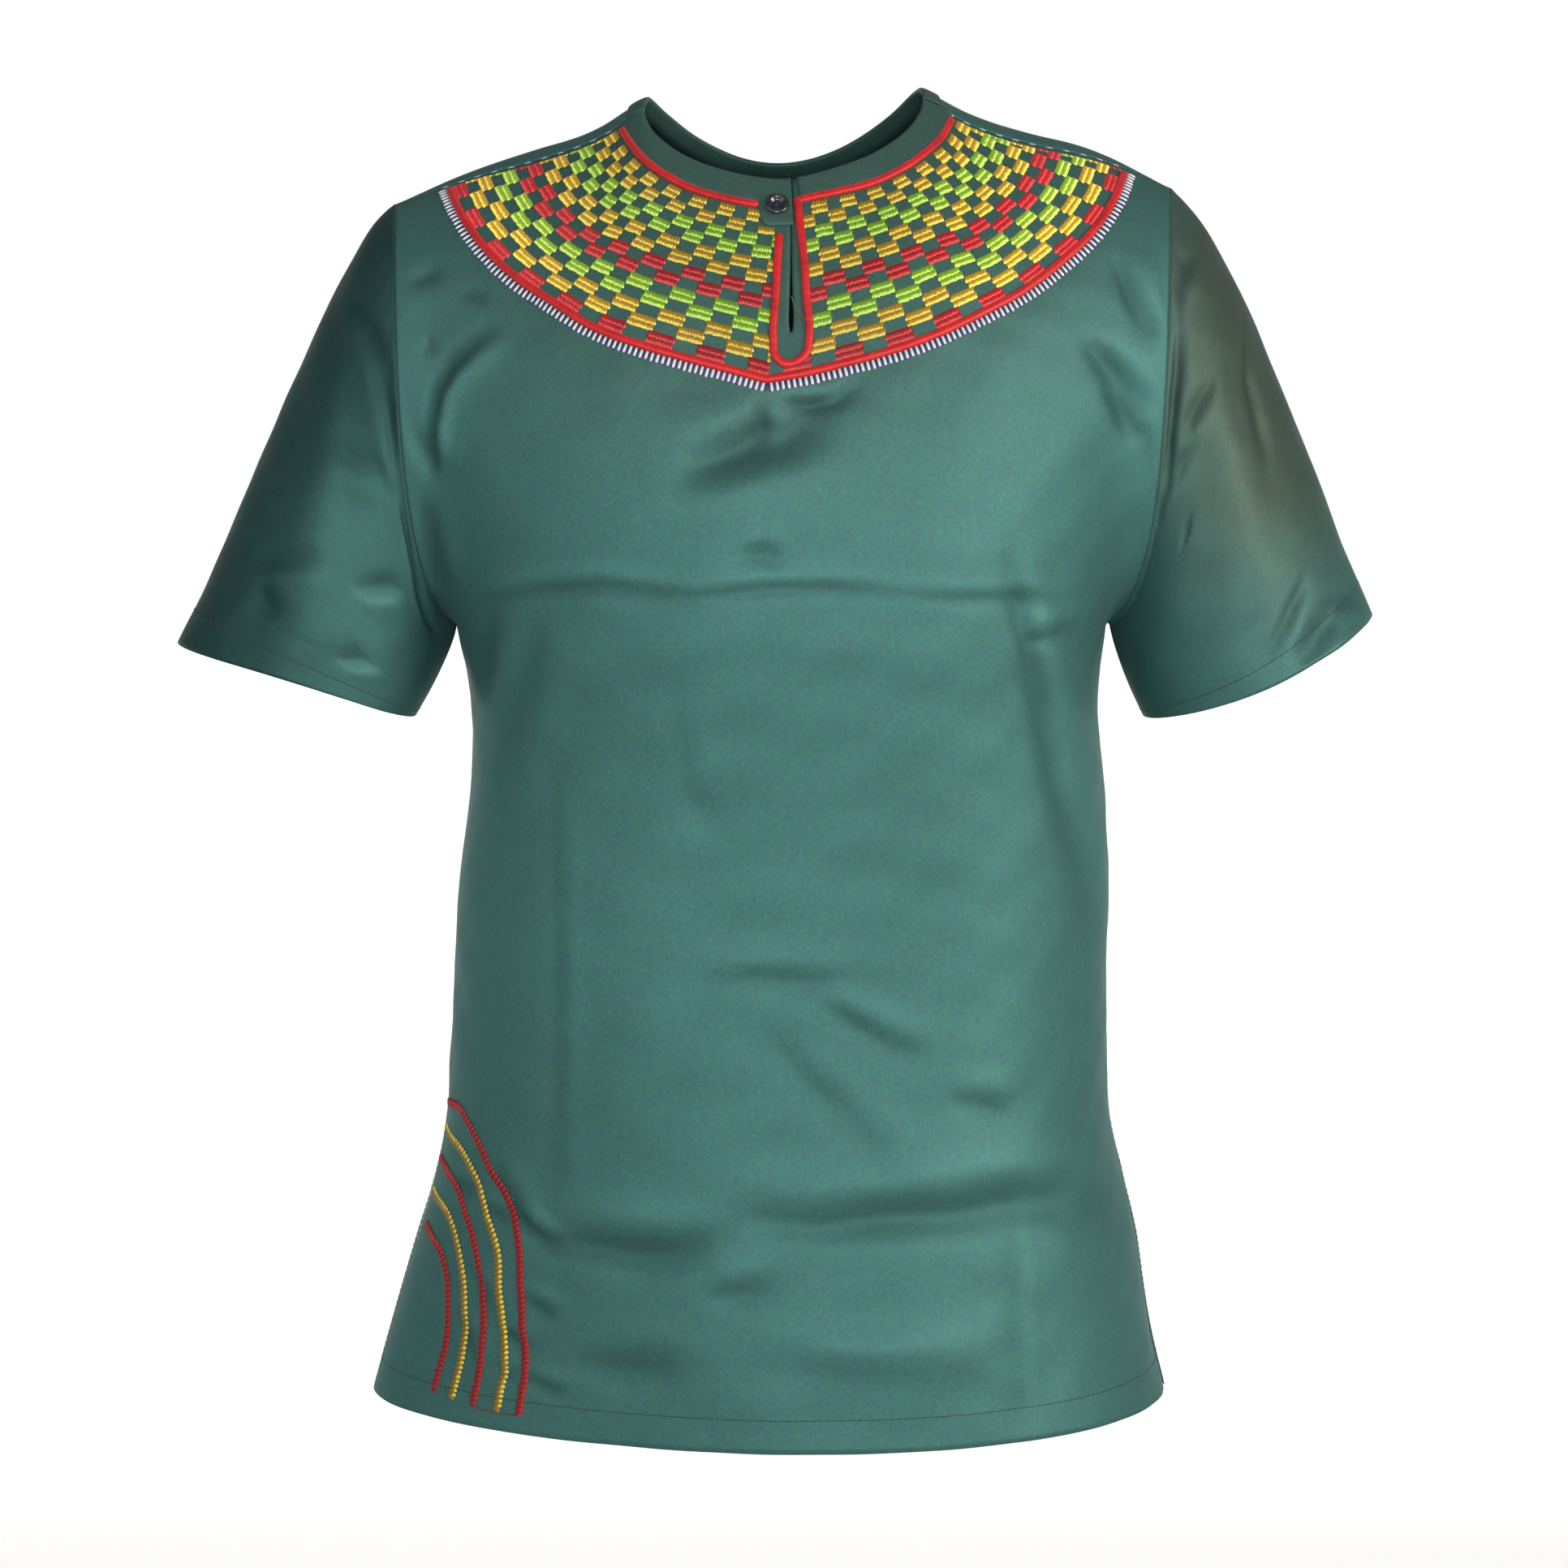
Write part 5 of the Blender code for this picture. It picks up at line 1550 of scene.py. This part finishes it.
class SHIRT_OT_threads(bpy.types.Operator):
    """Leaves the loose ends of thread"""

    bl_idname = "shirt.threads"
    bl_label = "Loose threads"

    def execute(self, context):
        for number, (thread, lift, places) in enumerate(LOOSE_THREADS):
            end = build_cord(f"loose_thread_{number}", places, finish(f"{thread}_arc_thread"),
                             LOOSE_WIDTH, LOOSE_WIDTH)
            for vert in end.data.vertices:
                vert.co.y -= lift
            wear(end, "red_satin")
        return {"FINISHED"}


class SHIRT_OT_stitches(bpy.types.Operator):
    """Sews the hems, the vents, the shoulder dashes and the tacks beside the arcs"""

    bl_idname = "shirt.stitches"
    bl_label = "Running stitches"

    def execute(self, context):
        length = context.scene.shirt_sizes.stitch_length
        runs = []
        s = np.linspace(-0.985, 0.985, 260)
        hem_v = HEM_STITCHES / TUBE
        v = np.linspace(hem_v, (VENT_TOP_Z + 0.006 - HEM_Z) / TUBE, 60)
        for face in (-1, 1):
            for line in ((s, hem_v), (-VENT_STITCHES, v), (VENT_STITCHES, v)):
                runs.append(panel_run(face, *line, 0.0001, length, STITCH_GAP))
        turn = np.linspace(0, 1, 200)
        along = 1 - HEM_STITCHES / SLEEVE_LENGTH + 0 * turn
        for side, _ in SIDES:
            places = sleeve_point(side, turn, along, 0.0001)
            runs.append(run_of_stitches(places, sleeve_normal(side, turn, along), length,
                                        STITCH_GAP))
        seams = sewn_strands("seam_stitches", *join_runs(runs), 0.00050, 0.0003,
                             finish("seam_thread"), across=2, along=3)
        wear(seams, "green_cotton")
        runs = []
        for ends in SHOULDER_DASHES:
            runs.append(panel_run(-1, np.linspace(*ends, 90), 2 - 2.5 * SHOULDER_TRIM, 0.0002,
                                  *DASH))
        v = np.linspace(*((z - HEM_Z) / TUBE for z in TACK_Z), 40)
        runs.append(panel_run(-1, np.interp(v, (v[0], v[-1]), TACK_S), v, 0.0002, *TACK))
        tacks = sewn_strands("shoulder_tacks", *join_runs(runs), 0.0006, 0.0004,
                             finish("white_thread"), across=2, along=3)
        wear(tacks, "red_satin")
        return {"FINISHED"}


class SHIRT_OT_button(bpy.types.Operator):
    """Sews the button on its tab"""

    bl_idname = "shirt.button"
    bl_label = "Button"

    def execute(self, context):
        s, v = front_place([BUTTON_X], [BUTTON_Z])
        normal = Vector(surface_normal(-1, s, v)[0])
        base = Vector(body_point(-1, s, v, np.array((BUTTON_LIFT,)))[0])
        turn = normal.to_track_quat("Z", "Y").to_matrix().to_4x4()
        bm = bmesh.new()
        verts = [bm.verts.new((r * BUTTON_RADIUS, 0, h * BUTTON_HEIGHT))
                 for r, h in BUTTON_SECTION]
        edges = [bm.edges.new(pair) for pair in zip(verts, verts[1:])]
        bmesh.ops.spin(bm, geom=verts + edges, cent=(0, 0, 0), axis=(0, 0, 1),
                       angle=2 * math.pi, steps=64, use_merge=True)
        bmesh.ops.remove_doubles(bm, verts=bm.verts, dist=1e-6)
        bmesh.ops.recalc_face_normals(bm, faces=bm.faces)
        bmesh.ops.transform(bm, matrix=Matrix.Translation(base) @ turn, verts=bm.verts)
        mesh = bpy.data.meshes.new("button_disc")
        bm.to_mesh(mesh)
        bm.free()
        mesh.materials.append(finish("black_plastic"))
        mesh.shade_smooth()
        wear(new_object("button_disc", mesh), "black_button", "button")
        holes = np.array(((1, 1), (1, -1), (-1, -1), (-1, 1))) * BUTTON_HOLES
        centre = np.array(base) + np.array(normal) * BUTTON_HEIGHT * BUTTON_DISH
        facing = np.array(turn.to_3x3())
        spots = np.stack([centre + facing @ np.array((x, y, 0)) for x, y in holes])
        beside = np.array(((0, 0, 0), (0, 0, 0), (0.0003, 0, 0)))
        threads = sewn_strands("button_thread", spots[[0, 1, 0]] + beside,
                               spots[[2, 3, 2]] + beside, np.tile(np.array(normal), (3, 1)),
                               0.0006, 0.0006, finish("navy_thread"))
        wear(threads, "black_button")
        return {"FINISHED"}


class SHIRT_OT_stage(bpy.types.Operator):
    """Sets the floor, the lights and the camera"""

    bl_idname = "shirt.stage"
    bl_label = "Stage"

    def execute(self, context):
        self.lay_floor()
        for name, azimuth, elevation, strength, angle, tint in SUNS:
            light = bpy.data.lights.new(name, "SUN")
            light.energy = strength
            light.color = tint
            light.angle = math.radians(angle)
            turn, rise = math.radians(azimuth), math.radians(elevation)
            towards = Vector((math.sin(turn) * math.cos(rise), -math.cos(turn) * math.cos(rise),
                              math.sin(rise)))
            new_object(name, light).rotation_euler = towards.to_track_quat("Z", "Y").to_euler()
        light = bpy.data.lights.new("floor_light", "AREA")
        light.shape = "RECTANGLE"
        light.size, light.size_y = 2 * FLOOR_REACH, FLOOR_REACH
        light.energy = FLOOR_LIGHT
        light.spread = math.radians(50)
        lamp = new_object("floor_light", light)
        lamp.location = (0, 0.62 * FLOOR_REACH, 4.0)
        lamp.visible_camera = False
        world = bpy.data.worlds.new("studio")
        world.use_nodes = True
        tree = world.node_tree
        place = add_node(tree, "TexCoord", {})["Generated"]
        up = add_node(tree, "SeparateXYZ", {"Vector": place})["Z"]
        shade = colour_ramp(tree, up, (
            (0.0, (1.0, 1.0, 1.0)), (0.06, (1.0, 1.0, 1.0)), (0.20, (AMBIENT,) * 3)))
        set_inputs(tree, tree.nodes["Background"], {"Color": shade})
        context.scene.world = world
        lens = bpy.data.cameras.new("camera")
        lens.sensor_width = 36.0
        lens.lens = 100.66
        lens.clip_end = 200.0
        camera = new_object("camera", lens)
        camera.location = (0.0, -2.4, 0.0)
        camera.rotation_euler = (math.radians(80.886), 0.0, 0.0)
        context.scene.camera = camera
        context.scene.view_settings.view_transform = "Standard"
        return {"FINISHED"}

    def lay_floor(self):
        bm = bmesh.new()
        bmesh.ops.create_grid(bm, x_segments=2, y_segments=2, size=FLOOR_REACH)
        bmesh.ops.translate(bm, verts=bm.verts, vec=(0, 0, FLOOR_Z))
        mesh = bpy.data.meshes.new("floor")
        bm.to_mesh(mesh)
        bm.free()
        material, tree, shader = new_material("pale_floor")
        set_inputs(tree, shader, {"Base Color": (0.86, 0.86, 0.86, 1), "Roughness": 0.9,
                                  "Specular IOR Level": 0.1})
        mesh.materials.append(material)
        new_object("floor", mesh)


STEPS = (SHIRT_OT_panels, SHIRT_OT_sleeves, SHIRT_OT_seams, SHIRT_OT_bands, SHIRT_OT_cords,
         SHIRT_OT_checks, SHIRT_OT_ladder, SHIRT_OT_arcs, SHIRT_OT_threads, SHIRT_OT_stitches,
         SHIRT_OT_button, SHIRT_OT_stage)


class SHIRT_PT_sidebar(bpy.types.Panel):
    """Lists the shirt's pieces in the sidebar"""

    bl_idname = "SHIRT_PT_sidebar"
    bl_label = "Dashiki Shirt"
    bl_space_type = "VIEW_3D"
    bl_region_type = "UI"
    bl_category = "Shirt"

    def draw(self, context):
        for step in STEPS:
            self.layout.operator(step.bl_idname)
        for group in (context.scene.shirt_colours, context.scene.shirt_sizes):
            box = self.layout.box()
            for name in group.__annotations__:
                box.prop(group, name)


CLASSES = (ShirtColours, ShirtSizes, *STEPS, SHIRT_PT_sidebar)


def register():
    for item in CLASSES:
        bpy.utils.register_class(item)
    bpy.types.Scene.shirt_colours = PointerProperty(type=ShirtColours)
    bpy.types.Scene.shirt_sizes = PointerProperty(type=ShirtSizes)


def unregister():
    del bpy.types.Scene.shirt_sizes
    del bpy.types.Scene.shirt_colours
    for item in reversed(CLASSES):
        bpy.utils.unregister_class(item)


def main():
    register()
    for step in STEPS:
        getattr(bpy.ops.shirt, step.bl_idname.split(".")[1])()


if __name__ == "__main__":
    main()
